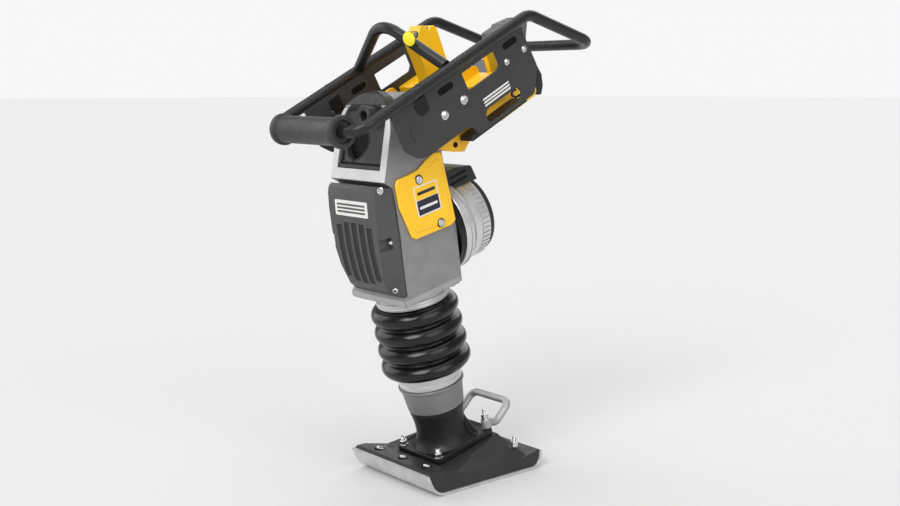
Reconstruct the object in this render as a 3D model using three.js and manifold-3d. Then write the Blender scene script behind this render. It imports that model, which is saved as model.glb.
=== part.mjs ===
// A battery-electric vibratory rammer ("jumping jack").
//
// Millimetres. +Z is up, -Y is the way the machine walks, +Y is the operator's side.
// The origin is the point where the leg's axis meets the floor, in the middle of the sole's flat.
//
// Three sets of coordinates are used:
//   ground  x, y, z         the shoe, which lies flat on the floor
//   leg     x, back, up     the ram and the crankcase, leaning forward by LEAN about the origin
//   handle  x, along, out   the handle frame, whose tubes climb at HANDLE_SLOPE towards the operator

import * as THREE from 'three';
import { mergeVertices } from 'three/addons/utils/BufferGeometryUtils.js';
import { ConvexGeometry } from 'three/addons/geometries/ConvexGeometry.js';
import Module from 'manifold-3d';

const wasm = await Module();
wasm.setup();

const rad = THREE.MathUtils.degToRad;

// Facets round a full turn. Pieces that fit one another share the same count.
const COARSE = 10;
const MEDIUM = 16;
const FINE = 24;

// ---------------------------------------------------------------- driving dimensions

const GAP = 0.3; // between pieces that touch or run in one another
const LEAN = rad(14.9);
const HANDLE_SLOPE = rad(28.1);
const HANDLE_Y = -216; // handle frame's origin, on the line of the side tubes
const HANDLE_Z = 886;

// Shoe
const SOLE_HALF_WIDTH = 140;
const SOLE_THICKNESS = 6;
const SOLE_FLAT_FRONT = -130;
const SOLE_FLAT_REAR = 139;
const FRONT_CURL = { radius: 48, angle: rad(64), lip: 25.6 };
const REAR_CURL = { radius: 26, angle: rad(80), lip: 20.8 };
const PAD_HALF_WIDTH = 135;

// Foot casting, in leg coordinates
const FLANGE = { halfWidth: 78, front: -84, rear: 92, bottom: 66, top: 78 };
const FLANGE_RIM = { width: 4, height: 4 };
const NECK_TOP = 170;
const NECK_BORE = 46.3;
const STUD_X = 64;
const FRONT_STUD_BACK = -69;
const REAR_STUD_BACK = 83;
const BARREL_TOP = 104;
const LOUVRES = { pitch: 27, width: 19, low: [512, 515, 525], high: [651, 650, 644] };
const LOOP_BAR = { back: 164, up: 112, kneeBack: 112, kneeUp: 82 };

// Ram
const SPRING_CYLINDER = { outer: 46, inner: 40, bottom: 84, top: 395 };
const GUIDE_TUBE = { outer: 56, inner: 46.3, bottom: 300, top: 474 };
const BELLOWS = { bottom: 262.5, top: 432, bulges: 4, crest: 104, valley: 86, wall: 5 };
const RAM_ROD_RADIUS = 13;
const PISTON = { radius: 39.6, bottom: 275, top: 290 };

// Crank drive, in leg coordinates; its axes run front to back
const MOTOR_UP = 571;
const GEAR_TEETH = 48;
const PINION_TEETH = 12;
const GEAR_MODULE = 170 / (GEAR_TEETH + PINION_TEETH);
const CRANK_UP = MOTOR_UP + 85;
const CRANK_THROW = 28;
const CRANK_PIN_RADIUS = 11;
const CRANK_PIN_UP = CRANK_UP + CRANK_THROW; // at rest the crank stands at its top
const WRIST_PIN_UP = 554;
const WRIST_PIN_RADIUS = 8;
const GEAR_FACE = { front: 30, rear: 44 };

// Crankcase, in leg coordinates
const CASE_HALF_WIDTH = 97;
const CASE_WALL = 8;
const CASE_BOTTOM = 462;
const CASE_REAR = 88;
const ROOF_Z = 880; // ground height of the level roof
const SHOULDER_Z = 790; // ground height where the sides begin to round over
const INSERT_SHOULDER_Z = 815; // and where the opening for the upper insert does

// Motor, in leg coordinates
const MOTOR_FLANGE_RADIUS = 109;
const MOTOR_HOUSING_RADIUS = 99;
const MOTOR_SEAL = { front: CASE_REAR + GAP, rear: 104 };
const MOTOR_FLANGE = { front: 104.3, rear: 134 };
const MOTOR_HOUSING = { front: 134.3, rear: 190 };
const MOTOR_CAP_REAR = 206;

// Handle, in handle coordinates
const TUBE_RADIUS = 12.5;
const TUBE_X = 161;
const TUBE_SEAM = -4;
const ROLLER_ALONG = -180;
const ROLLER = { radius: 29, flangeRadius: 34, halfLength: 112, flangeWidth: 14 };
const PEAK_ALONG = 343;
const REAR_BAR = { along: 502, out: -152 };
const PLATE = { inner: 150, outer: 155, top: -13 };
const BAIL = { along: 88, apexAlong: 84, apexOut: 118 };
const MOUNT_SPOTS = { front: [35, -80], rear: [96, -77] };
const YOKE = { inner: CASE_HALF_WIDTH + GAP, outer: 105 };
const TOWER_HALF_WIDTH = 19;
const BATTERY = { halfWidth: 58, front: 258, rear: 340, bottom: -190, top: -104 };

// ---------------------------------------------------------------- finishes

const FINISHES = {
  castAluminium: { color: 0x9a9c9e, roughness: 0.55, metalness: 0.75 },
  brightAluminium: { color: 0xc8cacc, roughness: 0.32, metalness: 0.9 },
  steel: { color: 0xaeb0b2, roughness: 0.3, metalness: 1.0 },
  zinc: { color: 0xd2d3d2, roughness: 0.28, metalness: 1.0 },
  solePlate: { color: 0xb4b6b6, roughness: 0.45, metalness: 0.85 },
  blackCasting: { color: 0x1c1c1d, roughness: 0.5, metalness: 0.2 },
  blackPad: { color: 0x2c2c2d, roughness: 0.6, metalness: 0.0 },
  blackTube: { color: 0x232325, roughness: 0.4, metalness: 0.3 },
  charcoalPlate: { color: 0x434345, roughness: 0.5, metalness: 0.3 },
  greyCover: { color: 0x58595a, roughness: 0.55, metalness: 0.1 },
  blackRubber: { color: 0x121213, roughness: 0.35, metalness: 0.0 },
  yellow: { color: 0xffc820, roughness: 0.42, metalness: 0.0 },
  darkPlastic: { color: 0x2e2e30, roughness: 0.55, metalness: 0.0 },
  redPlastic: { color: 0xc9281c, roughness: 0.4, metalness: 0.0 },
  greyPlastic: { color: 0x6d6e72, roughness: 0.5, metalness: 0.0 },
  springSteel: { color: 0x3a3c40, roughness: 0.35, metalness: 0.9 },
};

// ---------------------------------------------------------------- solids

/** A closed geometry as a solid for joining and cutting, with its faces pointing out. */
function toSolid(shape) {
  if (shape instanceof wasm.Manifold) {
    return shape;
  }
  const bare = new THREE.BufferGeometry();
  bare.setAttribute('position', shape.getAttribute('position'));
  if (shape.index) {
    bare.setIndex(shape.index);
  }
  const merged = mergeVertices(bare, 1e-4);
  const points = merged.getAttribute('position').array;
  const index = merged.index.array;
  const faces = [];
  for (let i = 0; i < index.length; i += 3) {
    const [a, b, c] = [index[i], index[i + 1], index[i + 2]];
    if (a !== b && b !== c && a !== c) {
      faces.push(a, b, c);
    }
  }
  if (signedVolume(points, faces) < 0) {
    faces.reverse();
  }
  const mesh = new wasm.Mesh({
    numProp: 3,
    vertProperties: new Float32Array(points),
    triVerts: new Uint32Array(faces),
  });
  mesh.merge();
  return new wasm.Manifold(mesh);
}

function signedVolume(points, faces) {
  const corner = (i) => new THREE.Vector3().fromArray(points, 3 * faces[i]);
  let volume = 0;
  for (let i = 0; i < faces.length; i += 3) {
    volume += corner(i).dot(corner(i + 1).cross(corner(i + 2)));
  }
  return volume / 6;
}

function join(...shapes) {
  return shapes.map(toSolid).reduce((whole, piece) => whole.add(piece));
}

function cut(base, ...tools) {
  return tools.map(toSolid).reduce((left, tool) => left.subtract(tool), toSolid(base));
}

function common(a, b) {
  return toSolid(a).intersect(toSolid(b));
}

function toGeometry(solid) {
  const mesh = solid.getMesh();
  const geometry = new THREE.BufferGeometry();
  geometry.setAttribute('position', new THREE.BufferAttribute(mesh.vertProperties, 3));
  geometry.setIndex(new THREE.BufferAttribute(mesh.triVerts, 1));
  const facets = geometry.toNonIndexed();
  facets.computeVertexNormals();
  return facets;
}

/** A named sub-part. */
function part(name, shape, finish) {
  const mesh = new THREE.Mesh(toGeometry(toSolid(shape)), new THREE.MeshStandardMaterial(FINISHES[finish]));
  mesh.name = name;
  return mesh;
}

// ---------------------------------------------------------------- shape helpers

/** A block between two corners. */
function block([x0, y0, z0], [x1, y1, z1]) {
  const box = new THREE.BoxGeometry(x1 - x0, y1 - y0, z1 - z0);
  return box.translate((x0 + x1) / 2, (y0 + y1) / 2, (z0 + z1) / 2);
}

/** A closed outline; a corner is [a, b] or [a, b, radius] to round it. */
function outline(corners) {
  return traceCorners(new THREE.Shape(), corners);
}

function hole(corners) {
  return traceCorners(new THREE.Path(), corners);
}

function traceCorners(path, corners) {
  corners.forEach(([a, b, radius = 0], i) => {
    const here = new THREE.Vector2(a, b);
    if (radius === 0) {
      i === 0 ? path.moveTo(a, b) : path.lineTo(a, b);
      return;
    }
    const before = new THREE.Vector2(...corners.at(i - 1).slice(0, 2)).sub(here).normalize();
    const after = new THREE.Vector2(...corners[(i + 1) % corners.length].slice(0, 2)).sub(here).normalize();
    const setback = radius / Math.tan(Math.acos(before.dot(after)) / 2);
    const start = here.clone().addScaledVector(before, setback);
    const end = here.clone().addScaledVector(after, setback);
    i === 0 ? path.moveTo(start.x, start.y) : path.lineTo(start.x, start.y);
    path.quadraticCurveTo(a, b, end.x, end.y);
  });
  path.closePath();
  return path;
}

/** Corners of a rectangle rounded by radius. */
function rectangle(a0, b0, a1, b1, radius = 0) {
  return [[a0, b0, radius], [a1, b0, radius], [a1, b1, radius], [a0, b1, radius]];
}

/** Corners of a slot with round ends between two points. */
function slot([a0, b0], [a1, b1], width) {
  const along = new THREE.Vector2(a1 - a0, b1 - b0).normalize().multiplyScalar(width / 2);
  const [s, t] = [along.x, along.y];
  const r = width * 0.499;
  return [
    [a0 - s + t, b0 - t - s, r], [a1 + s + t, b1 + t - s, r],
    [a1 + s - t, b1 + t + s, r], [a0 - s - t, b0 - t + s, r],
  ];
}

/** An outline in (y, z), or (back, up), or (along, out), made solid from x0 to x1. */
function acrossX(shape, x0, x1, curveSegments = 2) {
  const geometry = new THREE.ExtrudeGeometry(shape, { depth: x1 - x0, bevelEnabled: false, curveSegments });
  const turn = new THREE.Matrix4().makeBasis(
    new THREE.Vector3(0, 1, 0), new THREE.Vector3(0, 0, 1), new THREE.Vector3(1, 0, 0),
  );
  return geometry.applyMatrix4(turn).translate(x0, 0, 0);
}

/** An outline in (x, z) made solid from y0 to y1. */
function acrossY(shape, y0, y1, curveSegments = 2) {
  const geometry = new THREE.ExtrudeGeometry(shape, { depth: y1 - y0, bevelEnabled: false, curveSegments });
  return geometry.rotateX(Math.PI / 2).translate(0, y1, 0);
}

/** An outline in (x, y) made solid from z0 to z1. */
function acrossZ(shape, z0, z1, curveSegments = 2) {
  const geometry = new THREE.ExtrudeGeometry(shape, { depth: z1 - z0, bevelEnabled: false, curveSegments });
  return geometry.translate(0, 0, z0);
}

/** A profile of [radius, distance] turned about the Y axis. */
function turnedY(profile, segments = FINE) {
  return new THREE.LatheGeometry(profile.map(([r, y]) => new THREE.Vector2(r, y)), segments);
}

function turnedZ(profile, segments = FINE) {
  return turnedY(profile, segments).rotateX(Math.PI / 2);
}

function turnedX(profile, segments = FINE) {
  return turnedY(profile, segments).rotateZ(-Math.PI / 2);
}

/** Profile of a ring or tube; an inner radius of 0 makes a disc. */
function ring(inner, outer, from, to) {
  if (inner === 0) {
    return [[0, from], [outer, from], [outer, to], [0, to]];
  }
  return [[inner, from], [outer, from], [outer, to], [inner, to], [inner, from]];
}

/** Stations along straight runs joined by round bends. */
function bentRoute(corners, bendRadius, stepsPerBend = 6) {
  const points = corners.map((corner) => new THREE.Vector3(...corner));
  const stations = [points[0]];
  for (let i = 1; i < points.length - 1; i += 1) {
    const corner = points[i];
    const back = points[i - 1].clone().sub(corner).normalize();
    const ahead = points[i + 1].clone().sub(corner).normalize();
    const half = back.angleTo(ahead) / 2;
    const inward = back.clone().add(ahead).normalize();
    const centre = corner.clone().addScaledVector(inward, bendRadius / Math.sin(half));
    const start = corner.clone().addScaledVector(back, bendRadius / Math.tan(half)).sub(centre);
    const end = corner.clone().addScaledVector(ahead, bendRadius / Math.tan(half)).sub(centre);
    const sweep = Math.PI - 2 * half;
    for (let k = 0; k <= stepsPerBend; k += 1) {
      const share = k / stepsPerBend;
      const arm = start.clone().multiplyScalar(Math.sin((1 - share) * sweep))
        .addScaledVector(end, Math.sin(share * sweep))
        .divideScalar(Math.sin(sweep));
      stations.push(arm.add(centre));
    }
  }
  stations.push(points.at(-1));
  return stations;
}

/** A curve that passes straight from each station to the next. */
class Route extends THREE.Curve {
  constructor(stations) {
    super();
    this.stations = stations;
  }

  getPoint(t, target = new THREE.Vector3()) {
    const place = THREE.MathUtils.clamp(t, 0, 1) * (this.stations.length - 1);
    const i = Math.min(Math.floor(place), this.stations.length - 2);
    return target.lerpVectors(this.stations[i], this.stations[i + 1], place - i);
  }

  getUtoTmapping(u) {
    return u;
  }
}

/** A round bar through the stations. */
function bar(stations, radius, sides = COARSE) {
  const section = new THREE.Shape();
  for (let i = 0; i < sides; i += 1) {
    const angle = (2 * Math.PI * i) / sides;
    const [a, b] = [radius * Math.cos(angle), radius * Math.sin(angle)];
    i === 0 ? section.moveTo(a, b) : section.lineTo(a, b);
  }
  section.closePath();
  return new THREE.ExtrudeGeometry(section, {
    steps: stations.length - 1,
    extrudePath: new Route(stations),
    bevelEnabled: false,
  });
}

/** A hexagonal nut or bolt head, standing along Z. */
function hexagon(acrossFlats, z0, z1) {
  return turnedZ(ring(0, acrossFlats / Math.sqrt(3), z0, z1), 6);
}

/** The hull of the given points and of their mirror images in x. */
function mirroredHull(points) {
  return new ConvexGeometry(points.flatMap(([x, y, z]) => [
    new THREE.Vector3(x, y, z),
    new THREE.Vector3(-x, y, z),
  ]));
}

/** A point given in ground coordinates (y, z), as leg coordinates [back, up]. */
function legPoint(y, z) {
  return [
    y * Math.cos(LEAN) + z * Math.sin(LEAN),
    -y * Math.sin(LEAN) + z * Math.cos(LEAN),
  ];
}

/** A copy mirrored in x. */
function mirrorX(shape) {
  return shape.clone().scale(-1, 1, 1);
}

const SIDES = [['left', 1], ['right', -1]];

// ---------------------------------------------------------------- shoe

/** The running line of the sole, front lip to rear lip, moved in by inset. */
function rockerLine(inset) {
  const steps = 6;
  const line = [];
  const curl = (middle, { radius, angle, lip }, way) => {
    const at = (turn) => [
      middle + way * (radius - inset) * Math.sin(turn),
      radius - (radius - inset) * Math.cos(turn),
    ];
    const arc = Array.from({ length: steps + 1 }, (_, i) => at((angle * i) / steps));
    const [y, z] = arc.at(-1);
    arc.push([y + way * lip * Math.cos(angle), z + lip * Math.sin(angle)]);
    return arc;
  };
  line.push(...curl(SOLE_FLAT_FRONT, FRONT_CURL, -1).reverse());
  line.push(...curl(SOLE_FLAT_REAR, REAR_CURL, 1));
  return line;
}

function solePlate() {
  const profile = [...rockerLine(0), ...rockerLine(SOLE_THICKNESS).reverse()];
  return acrossX(outline(profile), -SOLE_HALF_WIDTH, SOLE_HALF_WIDTH);
}

/** The pad's flat slab in the sole, and the wedge that rises from it to the leaning flange. */
function shoePad() {
  const topLine = [[157, 43], [96, 31], [-60, 38], [-150, 57], [-171, 57]];
  const slab = acrossX(
    outline([...rockerLine(SOLE_THICKNESS + GAP), ...topLine]), -PAD_HALF_WIDTH, PAD_HALF_WIDTH,
  );
  const top = FLANGE.bottom - GAP;
  const sideways = new THREE.Vector3(1, 0, 0);
  const upright = (x, back, up) => new THREE.Vector3(x, back, up).applyAxisAngle(sideways, LEAN);
  const corners = [
    upright(FLANGE.halfWidth + 2, FLANGE.front - 1, top),
    upright(FLANGE.halfWidth + 2, FLANGE.rear + 2, top),
    new THREE.Vector3(PAD_HALF_WIDTH - 1, -102, 41), new THREE.Vector3(PAD_HALF_WIDTH - 1, 128, 32),
    new THREE.Vector3(PAD_HALF_WIDTH - 1, -102, 20), new THREE.Vector3(PAD_HALF_WIDTH - 1, 128, 20),
  ];
  const wedge = mirroredHull(corners.map((corner) => corner.toArray()));
  const flangeSpace = block([-110, FLANGE.front - 4, top], [110, FLANGE.rear + 8, top + 40]).rotateX(LEAN);
  return cut(join(slab, wedge), flangeSpace);
}

function shoe() {
  const group = new THREE.Group();
  group.add(part('sole_plate', solePlate(), 'solePlate'));
  group.add(part('shoe_pad', shoePad(), 'blackPad'));
  return group;
}

// ---------------------------------------------------------------- foot

/** Square flange with a raised rim, a waisted neck and four corner webs. */
function footCasting() {
  const { halfWidth: w, front, rear, bottom, top } = FLANGE;
  const floor = 6;
  const plate = acrossZ(outline(rectangle(-w, front, w, rear, 14)), bottom, top);
  const rimOutline = outline(rectangle(-w, front, w, rear, 14));
  const inside = FLANGE_RIM.width;
  rimOutline.holes.push(hole(rectangle(-w + inside, front + inside, w - inside, rear - inside, 8)));
  const rim = acrossZ(rimOutline, top - 1, top + FLANGE_RIM.height);
  const neck = turnedZ([
    [0, top - 1], [76, top - 1], [71, top + 6], [65, top + 18], [61.5, top + 34], [60, top + 48],
    [61.5, 150], [64.5, NECK_TOP], [0, NECK_TOP],
  ], FINE);
  const webs = [[1, -1], [-1, -1], [1, 1], [-1, 1]].map(([sx, sy]) => {
    const reach = 57;
    const across = new THREE.Vector3(sx, -sy, 0).normalize().multiplyScalar(5);
    const spine = [
      [sx * reach, sy * reach, top - 2], [sx * reach, sy * reach, top + 3],
      [sx * 40, sy * 40, top - 2], [sx * 42, sy * 42, top + 52],
    ].map((p) => new THREE.Vector3(...p));
    return new ConvexGeometry(spine.flatMap((p) => [p.clone().add(across), p.clone().sub(across)]));
  });
  const bore = turnedZ(ring(0, NECK_BORE, top + floor, NECK_TOP + 1), FINE);
  return cut(join(plate, rim, neck, ...webs), bore);
}

/** A stud with its washer and nut. */
function flangeStud(seat) {
  return join(
    turnedZ(ring(0, 9.5, seat, seat + 2.5), COARSE),
    hexagon(15, seat + 2, seat + 12),
    turnedZ([[0, seat + 11], [5, seat + 11], [5, seat + 22], [0, seat + 24]], COARSE),
  );
}

/** The lifting loop: a bent bar welded to two barrels that stand under the rear studs' nuts. */
function liftLoop() {
  const barrel = { bottom: FLANGE.top + FLANGE_RIM.height + GAP, top: BARREL_TOP };
  const feet = [1, -1].map((side) => (
    turnedZ(ring(0, 12, barrel.bottom, barrel.top), MEDIUM).translate(side * STUD_X, REAR_STUD_BACK, 0)
  ));
  const side = (way) => [
    [way * STUD_X, REAR_STUD_BACK + 5, 93.5],
    [way * STUD_X, LOOP_BAR.kneeBack, LOOP_BAR.kneeUp],
    [way * STUD_X, LOOP_BAR.back, LOOP_BAR.up],
  ];
  const stations = bentRoute([...side(1), ...side(-1).reverse()], 19, 4);
  return join(bar(stations, 8, 8), ...feet);
}

/** Coil spring between two heights. */
function coilSpring(from, to, turns, coilRadius, wire) {
  const stepsPerTurn = 10;
  const steps = turns * stepsPerTurn;
  const stations = Array.from({ length: steps + 1 }, (_, i) => {
    const angle = (2 * Math.PI * i) / stepsPerTurn;
    const height = THREE.MathUtils.lerp(from + wire, to - wire, i / steps);
    return new THREE.Vector3(coilRadius * Math.cos(angle), coilRadius * Math.sin(angle), height);
  });
  return bar(stations, wire, 5);
}

/** A corrugated sleeve: round crests, narrow valleys, and a cuff at each end. */
function bellowsProfile() {
  const { bottom, top, bulges, crest, valley, wall } = BELLOWS;
  const pitch = (top - bottom) / bulges;
  const depth = crest - valley;
  const outside = [[valley - 14, bottom]];
  for (let i = 0; i < bulges; i += 1) {
    const start = bottom + i * pitch;
    [0.18, 0.5, 0.82].forEach((share) => {
      const swell = Math.sin(Math.PI * share) ** 0.6;
      outside.push([valley + depth * swell, start + share * pitch]);
    });
    outside.push([valley - 2, start + pitch]);
  }
  const inside = outside.map(([r, up]) => [r - wall, up]).reverse();
  return [...outside, ...inside, outside[0]];
}

function foot() {
  const group = new THREE.Group();
  group.add(part('foot_casting', footCasting(), 'blackCasting'));
  SIDES.forEach(([side, way]) => {
    const front = flangeStud(FLANGE.top + GAP);
    const rear = flangeStud(BARREL_TOP + GAP);
    group.add(part(`flange_stud_front_${side}`, front, 'zinc'));
    group.children.at(-1).position.set(way * STUD_X, FRONT_STUD_BACK, 0);
    group.add(part(`flange_stud_rear_${side}`, rear, 'zinc'));
    group.children.at(-1).position.set(way * STUD_X, REAR_STUD_BACK, 0);
  });
  group.add(part('lift_loop', liftLoop(), 'castAluminium'));
  const { outer, inner, bottom, top } = SPRING_CYLINDER;
  const cylinder = cut(
    turnedZ(ring(0, outer - GAP, bottom + GAP, top), FINE),
    turnedZ(ring(0, inner, bottom + 8, top + 1), FINE),
  );
  group.add(part('spring_cylinder', cylinder, 'steel'));
  group.add(part('spring_cylinder_cap', turnedZ([
    [RAM_ROD_RADIUS + 1, top - 12], [inner - GAP, top - 12], [inner - GAP, top + GAP],
    [outer - GAP, top + GAP], [outer - GAP, top + 12],
    [RAM_ROD_RADIUS + 1, top + 12], [RAM_ROD_RADIUS + 1, top - 12],
  ], FINE), 'steel'));
  group.add(part('lower_collar', turnedZ([
    [NECK_BORE, NECK_TOP + GAP], [66, NECK_TOP + GAP], [70, 200], [72.5, 224], [76.5, 226], [76.5, 231.5],
    [64, 231.5], [64, BELLOWS.bottom - 1], [NECK_BORE, BELLOWS.bottom - 1], [NECK_BORE, NECK_TOP + GAP],
  ], FINE), 'brightAluminium'));
  group.add(part('lower_bellows_clamp', turnedZ([
    [64 + GAP, 232], [73.5, 232], [75, 236], [75, 257], [73.5, 261.5], [64 + GAP, 261.5], [64 + GAP, 232],
  ], FINE), 'brightAluminium'));
  group.add(part('bellows', turnedZ(bellowsProfile(), FINE), 'blackRubber'));
  group.add(part('lower_spring', coilSpring(bottom + 8.5, PISTON.bottom - 0.5, 6, 30, 5), 'springSteel'));
  group.add(part('upper_spring', coilSpring(PISTON.top + 0.5, top - 12.5, 4, 30, 5), 'springSteel'));
  return group;
}

// ---------------------------------------------------------------- ram

/** The rod with its fork; the fork is deep enough for the connecting rod's eye to pass down it. */
function ramRod() {
  const ear = { inner: 9, outer: 17, halfWidth: 18 };
  const root = 480;
  const rod = turnedZ([
    [0, 262], [10, 262], [RAM_ROD_RADIUS, 265], [RAM_ROD_RADIUS, root - 4], [0, root - 4],
  ], MEDIUM);
  const fork = join(
    block([-ear.halfWidth, -ear.outer, root - 10], [ear.halfWidth, ear.outer, WRIST_PIN_UP]),
    turnedY(ring(0, ear.halfWidth, -ear.outer, ear.outer), MEDIUM).translate(0, 0, WRIST_PIN_UP),
  );
  const throat = block([-40, -ear.inner, root], [40, ear.inner, WRIST_PIN_UP + 30]);
  const pinHole = turnedY(ring(0, WRIST_PIN_RADIUS + GAP, -30, 30), MEDIUM).translate(0, 0, WRIST_PIN_UP);
  return cut(join(rod, fork), throat, pinHole);
}

/** Half of the wrist pin: it stops just short of the connecting rod's eye. */
function wristPin(way) {
  const pin = turnedY([
    [0, 9.3], [WRIST_PIN_RADIUS, 9.3], [WRIST_PIN_RADIUS, 17 + GAP], [12, 17 + GAP], [12, 21], [0, 21],
  ], MEDIUM);
  return (way > 0 ? pin : pin.rotateZ(Math.PI)).translate(0, 0, WRIST_PIN_UP);
}

function ram() {
  const group = new THREE.Group();
  group.add(part('ram_rod', ramRod(), 'steel'));
  const pistonBore = RAM_ROD_RADIUS + GAP;
  const piston = turnedZ(ring(pistonBore, PISTON.radius, PISTON.bottom, PISTON.top), FINE);
  group.add(part('spring_piston', piston, 'steel'));
  group.add(part('wrist_pin_rear', wristPin(1), 'steel'));
  group.add(part('wrist_pin_front', wristPin(-1), 'steel'));
  return group;
}

// ---------------------------------------------------------------- crank drive

/** A spur gear's outline with straight-sided teeth; turn is the share of a tooth pitch it is rotated. */
function gearOutline(teeth, turn) {
  const pitchRadius = (GEAR_MODULE * teeth) / 2;
  const tip = pitchRadius + 0.85 * GEAR_MODULE;
  const root = pitchRadius - 1.1 * GEAR_MODULE;
  const pitch = (2 * Math.PI) / teeth;
  const shape = new THREE.Shape();
  for (let i = 0; i < teeth; i += 1) {
    const middle = (i + turn) * pitch;
    [[root, -0.32], [tip, -0.11], [tip, 0.11], [root, 0.32]].forEach(([r, share], k) => {
      const angle = middle + share * pitch;
      const [a, b] = [r * Math.cos(angle), r * Math.sin(angle)];
      i === 0 && k === 0 ? shape.moveTo(a, b) : shape.lineTo(a, b);
    });
  }
  shape.closePath();
  return shape;
}

function crankGear() {
  const gear = gearOutline(GEAR_TEETH, 0);
  const lightening = 5;
  for (let i = 0; i < lightening; i += 1) {
    const angle = (2 * Math.PI * (i + 0.5)) / lightening;
    const [a, b] = [40 * Math.cos(angle), 40 * Math.sin(angle)];
    gear.holes.push(new THREE.Path().absarc(a, b, 11, 0, 2 * Math.PI, true));
  }
  const disc = acrossY(gear, GEAR_FACE.front, GEAR_FACE.rear, 5).translate(0, 0, CRANK_UP);
  return cut(disc, turnedY(ring(0, 14 + GAP, 0, 90), MEDIUM).translate(0, 0, CRANK_UP));
}

/** Shaft, web and crank pin in one forging, with a counterweight opposite the pin. */
function crankshaft() {
  const shaft = turnedY(ring(0, 14, 20, 84), MEDIUM).translate(0, 0, CRANK_UP);
  const web = acrossY(outline([
    [-16, 36, 8], [16, 36, 8], [24, 0], [44, -8, 4], [38, -30, 10],
    [0, -46, 20], [-38, -30, 10], [-44, -8, 4], [-24, 0],
  ]), 12.5, 27.5).translate(0, 0, CRANK_UP);
  const pin = turnedY([
    [0, -13], [15, -13], [15, -9.2], [CRANK_PIN_RADIUS, -9.2], [CRANK_PIN_RADIUS, 14], [0, 14],
  ], MEDIUM).translate(0, 0, CRANK_PIN_UP);
  return join(shaft, web, pin);
}

function connectingRod() {
  const halfThickness = 8.5;
  const eye = (radius, up) => (
    turnedY(ring(0, radius, -halfThickness, halfThickness), MEDIUM).translate(0, 0, up)
  );
  const bore = (radius, up) => turnedY(ring(0, radius, -20, 20), MEDIUM).translate(0, 0, up);
  const shank = acrossY(outline([
    [-9, WRIST_PIN_UP], [9, WRIST_PIN_UP], [13, CRANK_PIN_UP], [-13, CRANK_PIN_UP],
  ]), -6, 6);
  return cut(
    join(shank, eye(21, CRANK_PIN_UP), eye(15.5, WRIST_PIN_UP)),
    bore(CRANK_PIN_RADIUS + 0.4, CRANK_PIN_UP),
    bore(WRIST_PIN_RADIUS + GAP, WRIST_PIN_UP),
  );
}

function pinion() {
  const gear = gearOutline(PINION_TEETH, 0.5);
  const disc = acrossY(gear, GEAR_FACE.front, GEAR_FACE.rear, 5).translate(0, 0, MOTOR_UP);
  return cut(disc, turnedY(ring(0, 9 + GAP, 0, 90), MEDIUM).translate(0, 0, MOTOR_UP));
}

function motorRotor() {
  return turnedY([
    [0, 24], [9, 24], [9, 144], [58, 144], [58, 182], [9, 182], [9, 187], [0, 187],
  ], MEDIUM).translate(0, 0, MOTOR_UP);
}

function crankDrive() {
  const group = new THREE.Group();
  group.add(part('crank_gear', crankGear(), 'steel'));
  group.add(part('crankshaft', crankshaft(), 'steel'));
  group.add(part('connecting_rod', connectingRod(), 'steel'));
  group.add(part('drive_pinion', pinion(), 'steel'));
  group.add(part('motor_rotor', motorRotor(), 'steel'));
  return group;
}

// ---------------------------------------------------------------- crankcase

/** Front view of the upper case: upright sides and an elliptical arch. */
function archOutline(halfWidth, bottomZ, springZ, topZ) {
  const shape = new THREE.Shape();
  shape.moveTo(-halfWidth, bottomZ);
  shape.lineTo(halfWidth, bottomZ);
  const steps = 14;
  for (let i = 0; i <= steps; i += 1) {
    const angle = (Math.PI * i) / steps;
    shape.lineTo(halfWidth * Math.cos(angle), springZ + (topZ - springZ) * Math.sin(angle));
  }
  shape.closePath();
  return shape;
}

/** The arch as a level prism, from y0 to y1 on the ground, brought into leg coordinates. */
function archPrism(halfWidth, bottomZ, springZ, topZ, y0, y1) {
  return acrossY(archOutline(halfWidth, bottomZ, springZ, topZ), y0, y1).rotateX(-LEAN);
}

const COVER_JOINT = [[-80, 484], [-75, 532], [-71, 565], [-65, 608], [-61, 651], [-58, 700], [-58, 720]];
const FRAME_FACE = { bottomY: -262, bottomZ: 692, topY: -240, topZ: 830 };

/** A point on the upper frame's leaning front face, moved back by depth. */
function framePoint(z, depth) {
  const { bottomY, bottomZ, topY, topZ } = FRAME_FACE;
  const y = bottomY + ((topY - bottomY) * (z - bottomZ)) / (topZ - bottomZ);
  return legPoint(y + depth, z);
}

function caseSideOutline(inset) {
  const front = COVER_JOINT.map(([back, up]) => [back + inset, up]);
  front[0][1] += inset;
  return outline([
    [-91 + inset, CASE_BOTTOM + inset], [-91 + inset, 474],
    ...front,
    framePoint(FRAME_FACE.bottomZ + inset, inset), framePoint(852, inset),
    legPoint(-222 + inset, 874 - inset), legPoint(-205, ROOF_Z + 6 - inset),
    legPoint(-114 - inset, ROOF_Z + 6 - inset),
    [CASE_REAR + 14 - inset, 830], [CASE_REAR + 2 - inset, 754], [CASE_REAR - inset, 690],
    [CASE_REAR - inset, 585], [73 - inset, CASE_BOTTOM + inset],
  ]);
}

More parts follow.
